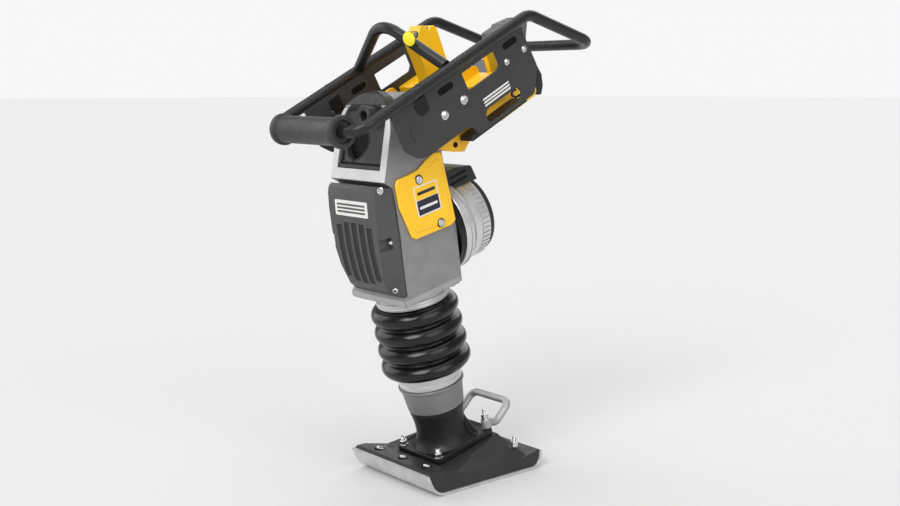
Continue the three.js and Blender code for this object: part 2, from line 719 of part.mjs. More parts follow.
/** Cast shell, open at the front for the cover and at the bottom for the guide tube. */
function crankcase() {
  const longArch = (inset) => archPrism(
    CASE_HALF_WIDTH - inset, 200, SHOULDER_Z, ROOF_Z - inset, -600, 400,
  );
  const outside = common(acrossX(caseSideOutline(0), -CASE_HALF_WIDTH, CASE_HALF_WIDTH), longArch(0));
  const inside = common(
    acrossX(caseSideOutline(CASE_WALL), -CASE_HALF_WIDTH + CASE_WALL, CASE_HALF_WIDTH - CASE_WALL),
    longArch(CASE_WALL),
  );
  const coverOpening = acrossX(outline([[-130, 494], [-40, 494], [-30, 710], [-120, 710]]), -82, 82);
  const topOpening = archPrism(76, 716, INSERT_SHOULDER_Z, 866.5, -300, -206);
  const guideHole = turnedZ(ring(0, GUIDE_TUBE.outer + GAP, CASE_BOTTOM - 5, CASE_BOTTOM + 30), FINE);
  const bearingBoss = (outer, up) => turnedY(ring(0, outer, 58, CASE_REAR - 2), MEDIUM).translate(0, 0, up);
  const bearingBore = (radius, up) => turnedY(ring(0, radius, 50, 77), MEDIUM).translate(0, 0, up);
  const shaftHole = turnedY(ring(0, 16, 50, CASE_REAR + 20), MEDIUM).translate(0, 0, MOTOR_UP);
  const shell = cut(outside, inside, coverOpening, topOpening, guideHole);
  const bosses = join(bearingBoss(34, CRANK_UP), bearingBoss(28, MOTOR_UP));
  return cut(
    join(shell, bosses),
    bearingBore(26 + GAP, CRANK_UP), bearingBore(22 + GAP, MOTOR_UP), shaftHole,
    turnedY(ring(0, 14.5, 50, 85), MEDIUM).translate(0, 0, CRANK_UP),
  );
}

/** Crowned cover: a centre panel, side facets that fall back a little, and walls back to the case. */
function frontCover() {
  const panel = [
    [86, -84, 480], [68, -108, 506], [68, -113, 525], [76, -115, 550], [82, -115, 592], [84, -111.5, 630],
    [84, -106, 680], [84, -100, 712], [84, -95, 724], [80, -87, 731],
  ];
  const edge = CASE_HALF_WIDTH - 0.5;
  const joint = COVER_JOINT.map(([back, up]) => [back - GAP, up]);
  const outer = mirroredHull([...panel, ...joint.map(([back, up]) => [edge, back - 3, up])]);
  const inner = mirroredHull([
    ...panel.map(([x, back, up]) => [x - 6, back + 8, THREE.MathUtils.clamp(up, 492, 716)]),
    ...joint.map(([back, up]) => [edge - 9, back + 6, THREE.MathUtils.clamp(up, 496, 710)]),
  ]);
  const behindJoint = acrossX(outline([
    [-95, 470.8], [-91, 474.4], [-80.3, 484.4], ...joint.slice(1), [-58.3, 735], [200, 735], [200, 470.8],
  ]), -200, 200);
  const corner = (wall) => [1, -1].map((way) => {
    const side = [way * (80 - wall), way * 100];
    return block([Math.min(...side), -130, 594 - wall], [Math.max(...side), wall - 85, 620 + wall]);
  });
  const hollow = cut(inner, block([-200, -200, 300], [200, -89, 900]), ...corner(6));
  return cut(outer, behindJoint, hollow, ...[-2, -1, 0, 1, 2].map(louvre), ...corner(0));
}

/** The groove cut for one louvre, counted from the middle one; the outer ones are shorter. */
function louvre(place) {
  const { pitch, width, low, high } = LOUVRES;
  const [bottom, top] = [low[Math.abs(place)], high[Math.abs(place)]];
  const side = outline([
    [-130, bottom - 2], [-104, bottom, 5], [-107, 560], [-106, 610], [-101, top, 5], [-130, top + 2],
  ]);
  return acrossX(side, place * pitch - width / 2, place * pitch + width / 2);
}

/** Black insert in the upper frame, with a deep oval pocket and a round boss. */
function topCover() {
  const slab = acrossX(outline([
    framePoint(717.5, 6), framePoint(858, 6), framePoint(862, 24), framePoint(717.5, 24),
  ]), -75.5, 75.5);
  const plate = common(slab, archPrism(75.5, 717.5, INSERT_SHOULDER_Z, 865, -300, -200));
  const ledge = acrossX(outline([
    framePoint(717.5, 1.5), framePoint(725, 1.5), framePoint(725, 7), framePoint(717.5, 7),
  ]), -75.5, 75.5);
  const pocket = acrossY(outline(slot([-28, 762], [-10, 778], 58)), -300, -234.5).rotateX(-LEAN);
  const slotHole = acrossY(outline(rectangle(-71, 731, -63, 754, 3.9)), -300, -244).rotateX(-LEAN);
  const boss = turnedY([[12, -258], [22, -258], [22, -232], [12, -232], [12, -258]], MEDIUM)
    .translate(22, 0, 829).rotateX(-LEAN);
  return cut(join(plate, ledge, boss), pocket, slotHole);
}

/** Side panel with a raised border and a flat label field. */
function sidePanel(way) {
  const corners = [
    [-54, 724, 6], [-46, 734, 4], [-12, 735], [14, 738], [37, 750], [62, 760, 6], [84, 756, 6],
    [86, 601, 6], [71, 594, 5], [-30, 596, 5], [-40, 604, 5], [-56, 676, 6],
  ];
  const field = [[-42, 716, 5], [72, 722, 5], [74, 622, 5], [60, 614, 5], [-26, 614, 5], [-44, 676, 5]];
  const inner = CASE_HALF_WIDTH + GAP;
  const panel = cut(
    acrossX(outline(corners), inner, inner + 9),
    acrossX(outline(field), inner + 6.5, inner + 12),
  );
  return way > 0 ? panel : toSolid(mirrorX(toGeometry(panel)));
}

/** Clamp ring and neck between the bellows and the case. */
function baseFlange() {
  return turnedZ([
    [GUIDE_TUBE.outer + GAP, 446], [72, 446], [72, 450], [82, 450], [82, CASE_BOTTOM - GAP],
    [GUIDE_TUBE.outer + GAP, CASE_BOTTOM - GAP], [GUIDE_TUBE.outer + GAP, 446],
  ], FINE);
}

function upperClamp() {
  return turnedZ([
    [72 + GAP, 432.5], [81, 432.5], [83, 436], [83, 446], [81, 449.7], [72 + GAP, 449.7], [72 + GAP, 432.5],
  ], FINE);
}

/** The motor's mounting flange: a thick disc, chamfered on both rims. */
function motorFlange() {
  const { front, rear } = MOTOR_FLANGE;
  return turnedY([
    [30, front], [MOTOR_FLANGE_RADIUS - 1, front], [MOTOR_FLANGE_RADIUS, front + 3],
    [MOTOR_FLANGE_RADIUS, rear - 8], [MOTOR_FLANGE_RADIUS - 5, rear], [30, rear], [30, front],
  ], FINE);
}

function motorHousing() {
  const { front, rear } = MOTOR_HOUSING;
  return turnedY([
    [30, front], [MOTOR_HOUSING_RADIUS + 2, front], [MOTOR_HOUSING_RADIUS + 1, front + 10],
    [MOTOR_HOUSING_RADIUS, rear - 3], [MOTOR_HOUSING_RADIUS - 3, rear], [91, rear],
    [91, front + 6], [30, front + 6], [30, front],
  ], FINE).translate(0, 0, MOTOR_UP);
}

function motorRearCap() {
  const rear = MOTOR_CAP_REAR;
  return turnedY([
    [0, 190 + GAP], [94, 190 + GAP], [94.5, 199], [91, rear - 2], [86, rear],
    [60, rear], [58, rear - 3], [0, rear - 3],
  ], FINE).translate(0, 0, MOTOR_UP);
}

/** Terminal box saddled over the motor. */
function motorConnectorBox() {
  const body = acrossX(outline([
    [112, 646], [114, 694, 6], [150, 698], [196, 689, 6], [207, 650, 4], [206, 636], [112, 636],
  ]), -58, 58);
  return cut(
    body,
    turnedY(ring(0, MOTOR_FLANGE_RADIUS + GAP, 90, MOTOR_FLANGE.rear + GAP), FINE)
      .translate(0, 0, MOTOR_UP),
    turnedY(ring(0, MOTOR_HOUSING_RADIUS + 2 + GAP, 120, 230), FINE).translate(0, 0, MOTOR_UP),
  );
}

/** The yoke: cheeks bolted to the case's sides, joined behind it by a folded floor. */
function mountYoke() {
  const cheekOutline = outline([
    [12, -62, 10], [118, -56, 14], [126, -100], [134, -150, 4], [132, -174, 3], [104, -187], [84, -198, 4],
    [58, -184, 4], [20, -156, 4],
  ]);
  const { inner, outer } = YOKE;
  const cheeks = [
    acrossX(cheekOutline, inner, outer),
    acrossX(cheekOutline, -outer, -inner),
  ];
  const floor = acrossX(outline([
    [70, -190.8], [84, -198], [104, -187], [132, -174], [134, -150], [129, -150], [127, -171.5],
    [102, -182.5], [84, -192.5], [72, -186],
  ]), -outer + 1, outer - 1);
  return join(...cheeks, floor);
}

function caseGroup() {
  const group = new THREE.Group();
  group.add(part('crankcase', crankcase(), 'castAluminium'));
  group.add(part('front_cover', frontCover(), 'greyCover'));
  group.add(part('top_cover', topCover(), 'darkPlastic'));
  const { inner, outer, bottom, top } = GUIDE_TUBE;
  group.add(part('guide_tube', turnedZ(ring(inner, outer, bottom, top), FINE), 'steel'));
  group.add(part('base_flange', baseFlange(), 'brightAluminium'));
  group.add(part('upper_bellows_clamp', upperClamp(), 'brightAluminium'));
  SIDES.forEach(([side, way]) => {
    group.add(part(`side_panel_${side}`, sidePanel(way), 'yellow'));
  });
  const atMotor = (geometry) => geometry.translate(0, 0, MOTOR_UP);
  group.add(part('motor_seal', atMotor(turnedY(
    ring(90, MOTOR_FLANGE_RADIUS - 1, MOTOR_SEAL.front, MOTOR_SEAL.rear), 48,
  )), 'blackRubber'));
  group.add(part('motor_flange', atMotor(motorFlange()), 'brightAluminium'));
  group.add(part('motor_housing', motorHousing(), 'brightAluminium'));
  group.add(part('motor_stator', atMotor(turnedY(ring(60, 90, 145, 181), FINE)), 'steel'));
  group.add(part('motor_rear_cap', motorRearCap(), 'darkPlastic'));
  group.add(part('motor_connector_box', motorConnectorBox(), 'darkPlastic'));
  const bearing = (bore, radius, up) => turnedY(ring(bore, radius, 60, 76.5), MEDIUM).translate(0, 0, up);
  group.add(part('crank_bearing', bearing(14 + GAP, 26, CRANK_UP), 'steel'));
  group.add(part('pinion_bearing', bearing(9 + GAP, 22, MOTOR_UP), 'steel'));
  return group;
}

// ---------------------------------------------------------------- handle

function frontTube(way) {
  const stations = bentRoute([
    [way * TUBE_X, TUBE_SEAM - GAP, 0], [way * TUBE_X, ROLLER_ALONG, 0], [way * 92, ROLLER_ALONG, 0],
  ], 40, 8);
  return bar(stations, TUBE_RADIUS);
}

/** One tube: up both sides, down from the peak, and across behind the operator's hands. */
function rearLoop() {
  const side = (way) => [
    [way * TUBE_X, TUBE_SEAM + GAP, 0], [way * TUBE_X, PEAK_ALONG, 0],
    [way * TUBE_X, REAR_BAR.along, REAR_BAR.out],
  ];
  const stations = bentRoute([...side(1), ...side(-1).reverse()], 48, 6);
  return bar(stations, TUBE_RADIUS);
}

/** A bow that starts and ends on the side tubes and peaks on the centre line. */
function liftBail() {
  const apex = new THREE.Vector3(0, BAIL.apexAlong, BAIL.apexOut);
  const foot = (way) => {
    const tube = new THREE.Vector3(way * TUBE_X, BAIL.along, 0);
    const up = apex.clone().sub(tube).normalize();
    return tube.addScaledVector(up, TUBE_RADIUS + 2 * GAP).toArray();
  };
  return bar(bentRoute([foot(1), apex.toArray(), foot(-1)], 70, 8), TUBE_RADIUS);
}

/** Side plate under the tube, with its windows and slots. */
function sidePlate(way) {
  const plate = outline([
    [-91, PLATE.top], [-93, -92, 6], [-81, -103, 4], [-65, -123, 10], [-44, -135, 16], [79, -134, 6],
    [91, -141, 6], [101, -163, 6], [287, -165, 12], [322, -112, 10], [318, -60], [316, PLATE.top],
  ]);
  plate.holes.push(
    hole([[-30, -24, 3], [-26, -44, 5], [-18, -52, 6], [2, -50, 6], [5, -40, 5], [5, -24, 3]]),
    hole([[117, -26, 3], [118, -67, 6], [211, -67, 8], [222, -56, 6], [222, -26, 3]]),
    hole([
      [147, -127, 6], [137, -137, 6], [138, -152, 6], [147, -158, 4],
      [238, -158, 6], [254, -142, 6], [246, -127, 5],
    ]),
    hole(slot([48, -33], [78, -33], 15)),
    hole(slot([254, -32], [285, -32], 15)),
    hole(slot([-62, -64], [-60, -92], 3)),
  );
  const solid = acrossX(plate, PLATE.inner, PLATE.outer);
  return way > 0 ? solid : mirrorX(solid);
}

/** Rubber buffer between the yoke and a side plate. */
function rubberMount(way, [along, out]) {
  const from = YOKE.outer + GAP;
  const to = PLATE.inner - GAP;
  const waist = (from + to) / 2;
  const buffer = turnedX([
    [0, from], [20, from], [20, from + 5], [16.5, waist], [20, to - 5], [20, to], [0, to],
  ], MEDIUM);
  return (way > 0 ? buffer : buffer.rotateZ(Math.PI)).translate(0, along, out);
}

/** Moulded base of the control housing, between the side plates. */
function controlBase() {
  const deck = acrossX(outline([
    [160, -124, 4], [160, -66, 6], [172, -58, 6], [206, -58, 4], [236, -68, 6], [238, -124, 6],
  ]), -62, 62);
  const halfPillar = TOWER_HALF_WIDTH + 3;
  const pillar = acrossX(outline(rectangle(129, -122, 200, -58, 4)), -halfPillar, halfPillar);
  const reach = PLATE.inner - 2 * GAP;
  const arms = acrossX(outline(rectangle(165, -118, 236, -84, 4)), -reach, reach);
  return join(deck, pillar, arms);
}

const BUTTON_FACE = { low: [134, 34], high: [166, 66] };

/** Places a shape made along +Z on the tower's sloping button face, at x. */
function onButtonFace(geometry, x, lift) {
  const [a, b] = [BUTTON_FACE.low, BUTTON_FACE.high];
  const tilt = Math.atan2(b[1] - a[1], b[0] - a[0]);
  const middle = new THREE.Vector3(x, (a[0] + b[0]) / 2, (a[1] + b[1]) / 2);
  const outward = new THREE.Vector3(0, -Math.sin(tilt), Math.cos(tilt));
  middle.addScaledVector(outward, lift);
  return geometry.rotateX(tilt).translate(...middle.toArray());
}

/** Upright control head; its front slope carries the start and stop buttons. */
function controlTower() {
  const profile = [
    [132, -57.7], [134, -5], BUTTON_FACE.low, BUTTON_FACE.high, [176, 61, 4], [180, 46, 3],
    [190, 51, 3], [199, 51, 4], [204, 40, 4], [196, -57.7],
  ];
  const body = acrossX(outline(profile), -TOWER_HALF_WIDTH, TOWER_HALF_WIDTH);
  const wells = [-1, 1].map((way) => (
    onButtonFace(turnedZ(ring(0, 7.5, -8, 5), MEDIUM), way * 9, 0)
  ));
  return cut(body, ...wells);
}

function pushButton(x) {
  return onButtonFace(turnedZ([[0, -4], [7, -4], [7, 2.4], [5.8, 3.4], [0, 3.4]], MEDIUM), x, 0);
}

/** The battery bay: a tub whose front posts rise to the side plates' windows. */
function batteryTub() {
  const side = outline([
    [152.5, -128], [238.5, -128], [247, -38, 4], [266, -38, 4], [269, -88, 6], [332, -112, 8],
    [349, -130, 6], [349, -190, 6], [338, -199, 8], [222, -199, 6], [178, -186, 8], [152.5, -161],
  ]);
  const { halfWidth, front, rear, bottom } = BATTERY;
  const bay = block([-halfWidth - 1, front - 1, bottom - 1], [halfWidth + 1, rear + 1, 60]);
  const betweenPosts = block([-80, 100, -108], [80, 400, 60]);
  const nose = block([-84, 100, -150], [84, 232, -100]);
  const lighteningPockets = [1, -1].map((way) => (
    block([way > 0 ? 66 : -88, 250, -240], [way > 0 ? 88 : -66, 332, -150])
  ));
  return cut(acrossX(side, -94, 94), bay, betweenPosts, nose, ...lighteningPockets);
}

/** Removable battery: a block in the bay, with a ribbed grip standing at its rear. */
function batteryPack() {
  const { halfWidth, front, rear, bottom, top } = BATTERY;
  const body = acrossX(outline([
    [front, bottom, 5], [rear, bottom, 5], [rear, top], [front, top, 8],
  ]), -halfWidth, halfWidth);
  const grip = acrossX(outline([
    [rear - 14, top - 8], [rear + 6, top - 18], [rear + 88, -102, 10], [rear + 114, -64, 8],
    [rear + 104, -48, 5], [rear + 54, -41, 4], [rear + 47, -45, 2], [rear + 14, -45, 4], [rear + 8, -62, 6],
  ]), -27, 27);
  const ribs = [60, 71, 82, 93].map((along) => (
    block([-30, rear + along, -50], [30, rear + along + 4.5, -30])
  ));
  return cut(join(body, grip), ...ribs);
}

/** Rear flap behind the tub that hooks the battery in; it hinges at its foot. */
function batteryLatch() {
  return acrossX(outline([
    [352.5, -204], [362, -208, 4], [376, -192, 8], [384, -167, 8], [380, -142, 6], [366, -134, 5],
    [350, -142], [350, -192],
  ]), -90, 90);
}

/** Guard under the side plates: a rail along each lower edge, tied by a cross piece behind the yoke. */
function bellyGuard() {
  const reach = PLATE.inner - GAP;
  const profile = outline([[86, -159, 2], [256, -160, 2], [268, -171, 3], [80, -170, 2]]);
  const rails = [acrossX(profile, 110, reach), acrossX(profile, -reach, -110)];
  return join(...rails, block([-reach + 1, 141, -171], [reach - 1, 150, -162]));
}

function roller() {
  const { radius, flangeRadius, halfLength, flangeWidth } = ROLLER;
  const neck = halfLength - flangeWidth;
  return turnedX([
    [TUBE_RADIUS + 0.6, -halfLength], [flangeRadius - 3, -halfLength], [flangeRadius, -halfLength + 3],
    [flangeRadius, -neck - 2], [radius, -neck], [radius, neck], [flangeRadius, neck + 2],
    [flangeRadius, halfLength - 3], [flangeRadius - 3, halfLength], [TUBE_RADIUS + 0.6, halfLength],
    [TUBE_RADIUS + 0.6, -halfLength],
  ], FINE).translate(0, ROLLER_ALONG, 0);
}

function handle() {
  const group = new THREE.Group();
  group.add(part('rear_loop_tube', rearLoop(), 'blackTube'));
  group.add(part('lift_bail', liftBail(), 'blackTube'));
  SIDES.forEach(([side, way]) => {
    group.add(part(`front_tube_${side}`, frontTube(way), 'blackTube'));
    group.add(part(`side_plate_${side}`, sidePlate(way), 'charcoalPlate'));
    Object.entries(MOUNT_SPOTS).forEach(([place, spot]) => {
      group.add(part(`rubber_mount_${place}_${side}`, rubberMount(way, spot), 'blackRubber'));
    });
  });
  group.add(part('mount_yoke', mountYoke(), 'yellow'));
  group.add(part('control_base', controlBase(), 'yellow'));
  group.add(part('control_tower', controlTower(), 'yellow'));
  group.add(part('stop_button', pushButton(-9), 'redPlastic'));
  group.add(part('start_button', pushButton(9), 'greyPlastic'));
  group.add(part('battery_tub', batteryTub(), 'yellow'));
  group.add(part('battery_pack', batteryPack(), 'greyPlastic'));
  group.add(part('battery_latch', batteryLatch(), 'darkPlastic'));
  group.add(part('belly_guard', bellyGuard(), 'darkPlastic'));
  group.add(part('roller', roller(), 'blackRubber'));
  return group;
}

// ---------------------------------------------------------------- assembly

const leg = new THREE.Group();
leg.rotation.x = LEAN;
leg.add(foot(), ram(), crankDrive(), caseGroup());

const handleFrame = handle();
handleFrame.position.set(0, HANDLE_Y, HANDLE_Z);
handleFrame.rotation.x = HANDLE_SLOPE;

const rammer = new THREE.Group();
rammer.add(shoe(), leg, handleFrame);

export default rammer;
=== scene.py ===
"""The vibratory rammer as it looks: smooth castings, turned rings, bent tubes and their finishes.

Lengths are written in millimetres and become metres when a piece is placed. X points to the left of
the machine, Y to its rear and Z up. Three places are used: GROUND lies flat, LEG leans forward about the
origin and its Z runs up the leg, HANDLE starts above the case and its Y climbs towards the operator.
"""

import math

import bmesh
import bpy
from mathutils import Matrix, Vector


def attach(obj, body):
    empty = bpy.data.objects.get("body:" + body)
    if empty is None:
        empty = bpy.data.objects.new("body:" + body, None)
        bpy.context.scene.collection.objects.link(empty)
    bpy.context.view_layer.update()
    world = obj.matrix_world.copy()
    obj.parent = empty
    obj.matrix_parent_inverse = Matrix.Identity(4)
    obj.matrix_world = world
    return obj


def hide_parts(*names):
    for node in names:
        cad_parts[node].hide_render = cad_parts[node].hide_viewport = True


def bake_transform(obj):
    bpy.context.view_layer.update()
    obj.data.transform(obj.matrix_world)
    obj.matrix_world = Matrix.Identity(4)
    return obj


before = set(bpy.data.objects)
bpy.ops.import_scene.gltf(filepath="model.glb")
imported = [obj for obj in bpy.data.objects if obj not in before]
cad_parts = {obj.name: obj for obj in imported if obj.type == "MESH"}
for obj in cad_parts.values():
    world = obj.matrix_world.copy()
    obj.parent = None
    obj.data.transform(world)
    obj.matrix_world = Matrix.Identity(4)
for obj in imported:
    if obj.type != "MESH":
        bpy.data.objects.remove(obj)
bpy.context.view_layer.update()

MM = 0.001
LEAN = math.radians(14.9)
SLOPE = math.radians(28.1)
GROUND = Matrix.Identity(4)
LEG = Matrix.Rotation(LEAN, 4, "X")
HANDLE = Matrix.Translation((0, -0.216, 0.886)) @ Matrix.Rotation(SLOPE, 4, "X")
SIDES = (("left", 1), ("right", -1))

# Main dimensions shared by several pieces.
CASE_HALF_WIDTH = 97
SHOULDER_Z = 790  # ground height where the case's sides begin to round over
ROOF_Z = 880  # ground height of its level roof
MOTOR_UP = 571
STUD_X = 64  # the flange studs and the ends of the lifting loop
TUBE_RADIUS = 12.5
TUBE_X = 161
ROLLER_ALONG = -180
BAIL_ALONG = 84
PLATE_FASTENER_X = 155.2
BUTTONS = (150, 50)  # along the handle and out of it

# The camera, fitted to the photo, and the light of the studio. CAMERA_AT is in metres.
CAMERA_AT = (2.00689, -1.71389, 0.88922)
CAMERA_YAW = math.radians(49.514)
CAMERA_PITCH = math.radians(8.143)
CAMERA_LENS = 46.301
SENSOR_WIDTH = 36
ROOM_LIGHT = 0.32  # how bright the walls of the studio light the machine
BACKDROP = 0.93  # how bright they look
FLOOR_TONE = (0.62, 0.62, 0.62)
FLOOR_REACH = 90  # metres
SUNS = (  # name, where it shines from, strength, spread in degrees
    ("key", (0.45, -1.0, 0.72), 1.9, 34),
    ("fill", (1.0, -0.1, 0.45), 0.9, 46),
    ("left", (-1.0, -0.5, 0.45), 0.9, 50),
    ("back", (-0.5, 0.8, 0.7), 0.9, 50),
    ("top", (0.05, -0.1, 1.0), 1.1, 60),
)

# Turns a shape drawn in (across, up) and thick along Z so that it is thick along X, Y or Z.
THICK_X = Matrix(((0, 0, 1, 0), (1, 0, 0, 0), (0, 1, 0, 0), (0, 0, 0, 1)))
THICK_Y = Matrix(((1, 0, 0, 0), (0, 0, -1, 0), (0, 1, 0, 0), (0, 0, 0, 1)))
THICK_Z = Matrix.Identity(4)
# Turns a lathe's axis from Z to X or Y.
AXIS_X = Matrix.Rotation(math.pi / 2, 4, "Y")
AXIS_Y = Matrix.Rotation(-math.pi / 2, 4, "X")


# ---------------------------------------------------------------- finishes

def shade(color, factor):
    """A colour made lighter or darker, with full opacity."""
    return tuple(min(1.0, channel * factor) for channel in color) + (1.0,)


def surface(name, color, roughness, metallic=0.0, mottle=0.1, mottle_size=45, grain=0.15,
            grain_size=0.8, coat=0.0, shine=0.5, wear=None, wear_amount=0.5, lines=None, slot=None):
    """A finish with cloudy colour, a fine relief, uneven gloss and, with wear, rubbed edges.

    Sizes are in millimetres. lines stretches the relief: (rotation about X, scale x, y, z).
    """
    material = bpy.data.materials.new(name)
    material.use_nodes = True
    nodes, links = material.node_tree.nodes, material.node_tree.links
    shader = nodes["Principled BSDF"]
    shader.inputs["Metallic"].default_value = metallic
    shader.inputs["Specular IOR Level"].default_value = shine
    shader.inputs["Coat Weight"].default_value = coat
    shader.inputs["Coat Roughness"].default_value = 0.15

    def node(kind, **settings):
        made = nodes.new(kind)
        for key, value in settings.items():
            setattr(made, key, value)
        return made

    where = node("ShaderNodeTexCoord").outputs["Object"]

    def noise(size, detail, source):
        made = node("ShaderNodeTexNoise")
        made.inputs["Scale"].default_value = 1 / (size * MM)
        made.inputs["Detail"].default_value = detail
        links.new(source, made.inputs["Vector"])
        return made.outputs["Fac"]

    def spread(source, low, high, start=0.3, end=0.7):
        made = node("ShaderNodeMapRange")
        for key, value in (("From Min", start), ("From Max", end), ("To Min", low), ("To Max", high)):
            made.inputs[key].default_value = value
        links.new(source, made.inputs["Value"])
        return made.outputs["Result"]

    cloud = noise(mottle_size, 5, where)
    tint = node("ShaderNodeMix", data_type="RGBA")
    tint.inputs["A"].default_value = shade(color, 1 - mottle)
    tint.inputs["B"].default_value = shade(color, 1 + mottle)
    links.new(spread(cloud, 0, 1), tint.inputs["Factor"])
    painted = tint.outputs["Result"]
    gloss = spread(noise(mottle_size / 4, 6, where), roughness * 0.8, min(1, roughness * 1.25))

    relief_place = where
    if lines:
        turn = node("ShaderNodeMapping", vector_type="POINT")
        turn.inputs["Rotation"].default_value = (lines[0], 0, 0)
        turn.inputs["Scale"].default_value = lines[1:]
        links.new(where, turn.inputs["Vector"])
        relief_place = turn.outputs["Vector"]
    bump = node("ShaderNodeBump")
    bump.inputs["Strength"].default_value = grain
    bump.inputs["Distance"].default_value = 0.4 * MM
    links.new(noise(grain_size, 3, relief_place), bump.inputs["Height"])
    links.new(bump.outputs["Normal"], shader.inputs["Normal"])

    if wear:
        soft = node("ShaderNodeBevel", samples=4)
        soft.inputs["Radius"].default_value = 1.6 * MM
        flat = node("ShaderNodeNewGeometry")
        facing = node("ShaderNodeVectorMath", operation="DOT_PRODUCT")
        links.new(soft.outputs["Normal"], facing.inputs[0])
        links.new(flat.outputs["Normal"], facing.inputs[1])
        edge = spread(facing.outputs["Value"], 1, 0, start=0.8, end=0.99)
        patchy = node("ShaderNodeMath", operation="MULTIPLY")
        links.new(edge, patchy.inputs[0])
        links.new(spread(noise(9, 6, where), 0, wear_amount, 0.42, 0.62), patchy.inputs[1])
        rubbed = node("ShaderNodeMix", data_type="RGBA")
        rubbed.inputs["B"].default_value = (*wear, 1)
        links.new(patchy.outputs["Value"], rubbed.inputs["Factor"])
        links.new(painted, rubbed.inputs["A"])
        painted = rubbed.outputs["Result"]

    links.new(painted, shader.inputs["Base Color"])
    links.new(gloss, shader.inputs["Roughness"])
    material["slot"] = slot or name
    return material


RING_LINES = (-LEAN, 0.03, 0.03, 1.0)  # relief drawn out into rings around the leg

CAST = surface("cast_aluminium", (0.245, 0.247, 0.25), 0.46, 0.35, mottle=0.08, mottle_size=30, grain=0.6,
               grain_size=2.4, wear=(0.5, 0.5, 0.5), wear_amount=0.35)
LIGHT_CAST = surface("light_cast", (0.37, 0.37, 0.38), 0.4, 0.5, mottle=0.08, grain=0.35, grain_size=1.4,
                     slot="cast_aluminium")
FRAME_SILVER = surface("frame_silver", (0.62, 0.625, 0.63), 0.36, 0.3, mottle=0.05, grain=0.3,
                       grain_size=1.2, slot="bright_aluminium")
BRIGHT = surface("bright_aluminium", (0.58, 0.585, 0.59), 0.38, 0.75, mottle=0.05, mottle_size=120,
                 grain=0.08, grain_size=1.2)
COLLAR = surface("collar_aluminium", (0.215, 0.217, 0.22), 0.45, 0.6, mottle=0.07, mottle_size=60,
                 grain=0.12, grain_size=1.8, wear=(0.45, 0.45, 0.45), wear_amount=0.3,
                 slot="bright_aluminium")
TURNED = surface("turned_aluminium", (0.68, 0.685, 0.69), 0.38, 0.75, mottle=0.05, mottle_size=120,
                 grain=0.08, grain_size=1.2, slot="bright_aluminium")
STEEL = surface("steel", (0.50, 0.50, 0.51), 0.28, 1.0, mottle=0.08, grain=0.1, lines=RING_LINES)
ZINC = surface("zinc", (0.68, 0.68, 0.67), 0.22, 1.0, mottle=0.12, mottle_size=6, grain=0.1)
SOLE = surface("sole_steel", (0.60, 0.605, 0.61), 0.36, 0.7, mottle=0.14, grain=0.15, grain_size=1.0,
               lines=(0, 0.03, 1.0, 1.0))
CASTING = surface("black_casting", (0.009, 0.009, 0.010), 0.40, mottle=0.25, grain=0.45, grain_size=1.6,
                  shine=0.3, wear=(0.05, 0.05, 0.05))
PAD = surface("black_pad", (0.024, 0.024, 0.026), 0.46, mottle=0.18, grain=0.35, grain_size=1.0,
              shine=0.35, wear=(0.09, 0.09, 0.09))
TUBE = surface("black_tube", (0.012, 0.012, 0.013), 0.33, mottle=0.15, grain=0.14, shine=0.4,
               wear=(0.08, 0.08, 0.08))
PLATE = surface("charcoal_plate", (0.036, 0.036, 0.038), 0.46, mottle=0.09, grain=0.3, grain_size=0.8,
                shine=0.4, wear=(0.2, 0.2, 0.21))
# The grey of the cover made darker: painted shade on the floors of the louvre grooves.
TROUGH_SHADE = surface("louvre_painted_shade", (0.038, 0.038, 0.040), 0.5, mottle=0.09, grain=0.2, grain_size=0.9,
                 shine=0.35, slot="grey_cover")
COVER = surface("grey_cover", (0.056, 0.056, 0.058), 0.46, mottle=0.09, grain=0.3, grain_size=0.9,
                shine=0.45, wear=(0.18, 0.18, 0.18), wear_amount=0.35)
RUBBER = surface("black_rubber", (0.003, 0.003, 0.003), 0.22, mottle=0.3, grain=0.012, grain_size=7,
                 shine=0.42)
ROLLER_RUBBER = surface("roller_rubber", (0.034, 0.034, 0.036), 0.46, mottle=0.06, grain=0.08, shine=0.35,
                        slot="black_rubber")
YELLOW = surface("yellow_plastic", (0.95, 0.54, 0.008), 0.34, mottle=0.03, grain=0.14, coat=0.15,
                 wear=(1.0, 0.70, 0.16), wear_amount=0.3)
YELLOW_PAINT = surface("yellow_paint", (0.92, 0.48, 0.008), 0.38, mottle=0.05, grain=0.25, coat=0.1,
                       wear=(0.9, 0.60, 0.18), wear_amount=0.35)
ORANGE = surface("orange_strip", (0.90, 0.20, 0.01), 0.42, mottle=0.05, slot="yellow_plastic")
DARK = surface("dark_plastic", (0.020, 0.020, 0.022), 0.46, mottle=0.12, grain=0.3, shine=0.35,
               wear=(0.09, 0.09, 0.09), wear_amount=0.4)
INSERT = surface("insert_plastic", (0.030, 0.030, 0.032), 0.42, mottle=0.1, grain=0.25, shine=0.35,
                 wear=(0.10, 0.10, 0.10), wear_amount=0.4, slot="dark_plastic")
HOOD = surface("hood_plastic", (0.013, 0.013, 0.014), 0.42, mottle=0.1, grain=0.25, shine=0.3,
               slot="dark_plastic")
# Near-black painted shade, for sheets, rings and discs put in holes, slots, wells and recesses where only
# shade falls.
PAINTED_SHADE = surface("painted_shade_black", (0.004, 0.004, 0.004), 0.6, mottle=0.3, shine=0.15, slot="dark_plastic")
GREY = surface("grey_plastic", (0.11, 0.113, 0.12), 0.42, mottle=0.1, grain=0.25, shine=0.4)
TAG = surface("tag_plastic", (0.95, 0.80, 0.02), 0.36, mottle=0.03, grain=0.14, coat=0.15,
              slot="yellow_plastic")
RED = surface("red_plastic", (0.60, 0.015, 0.012), 0.34, mottle=0.06, coat=0.2)
SPRING = surface("spring_steel", (0.05, 0.05, 0.055), 0.3, 0.9, mottle=0.2)
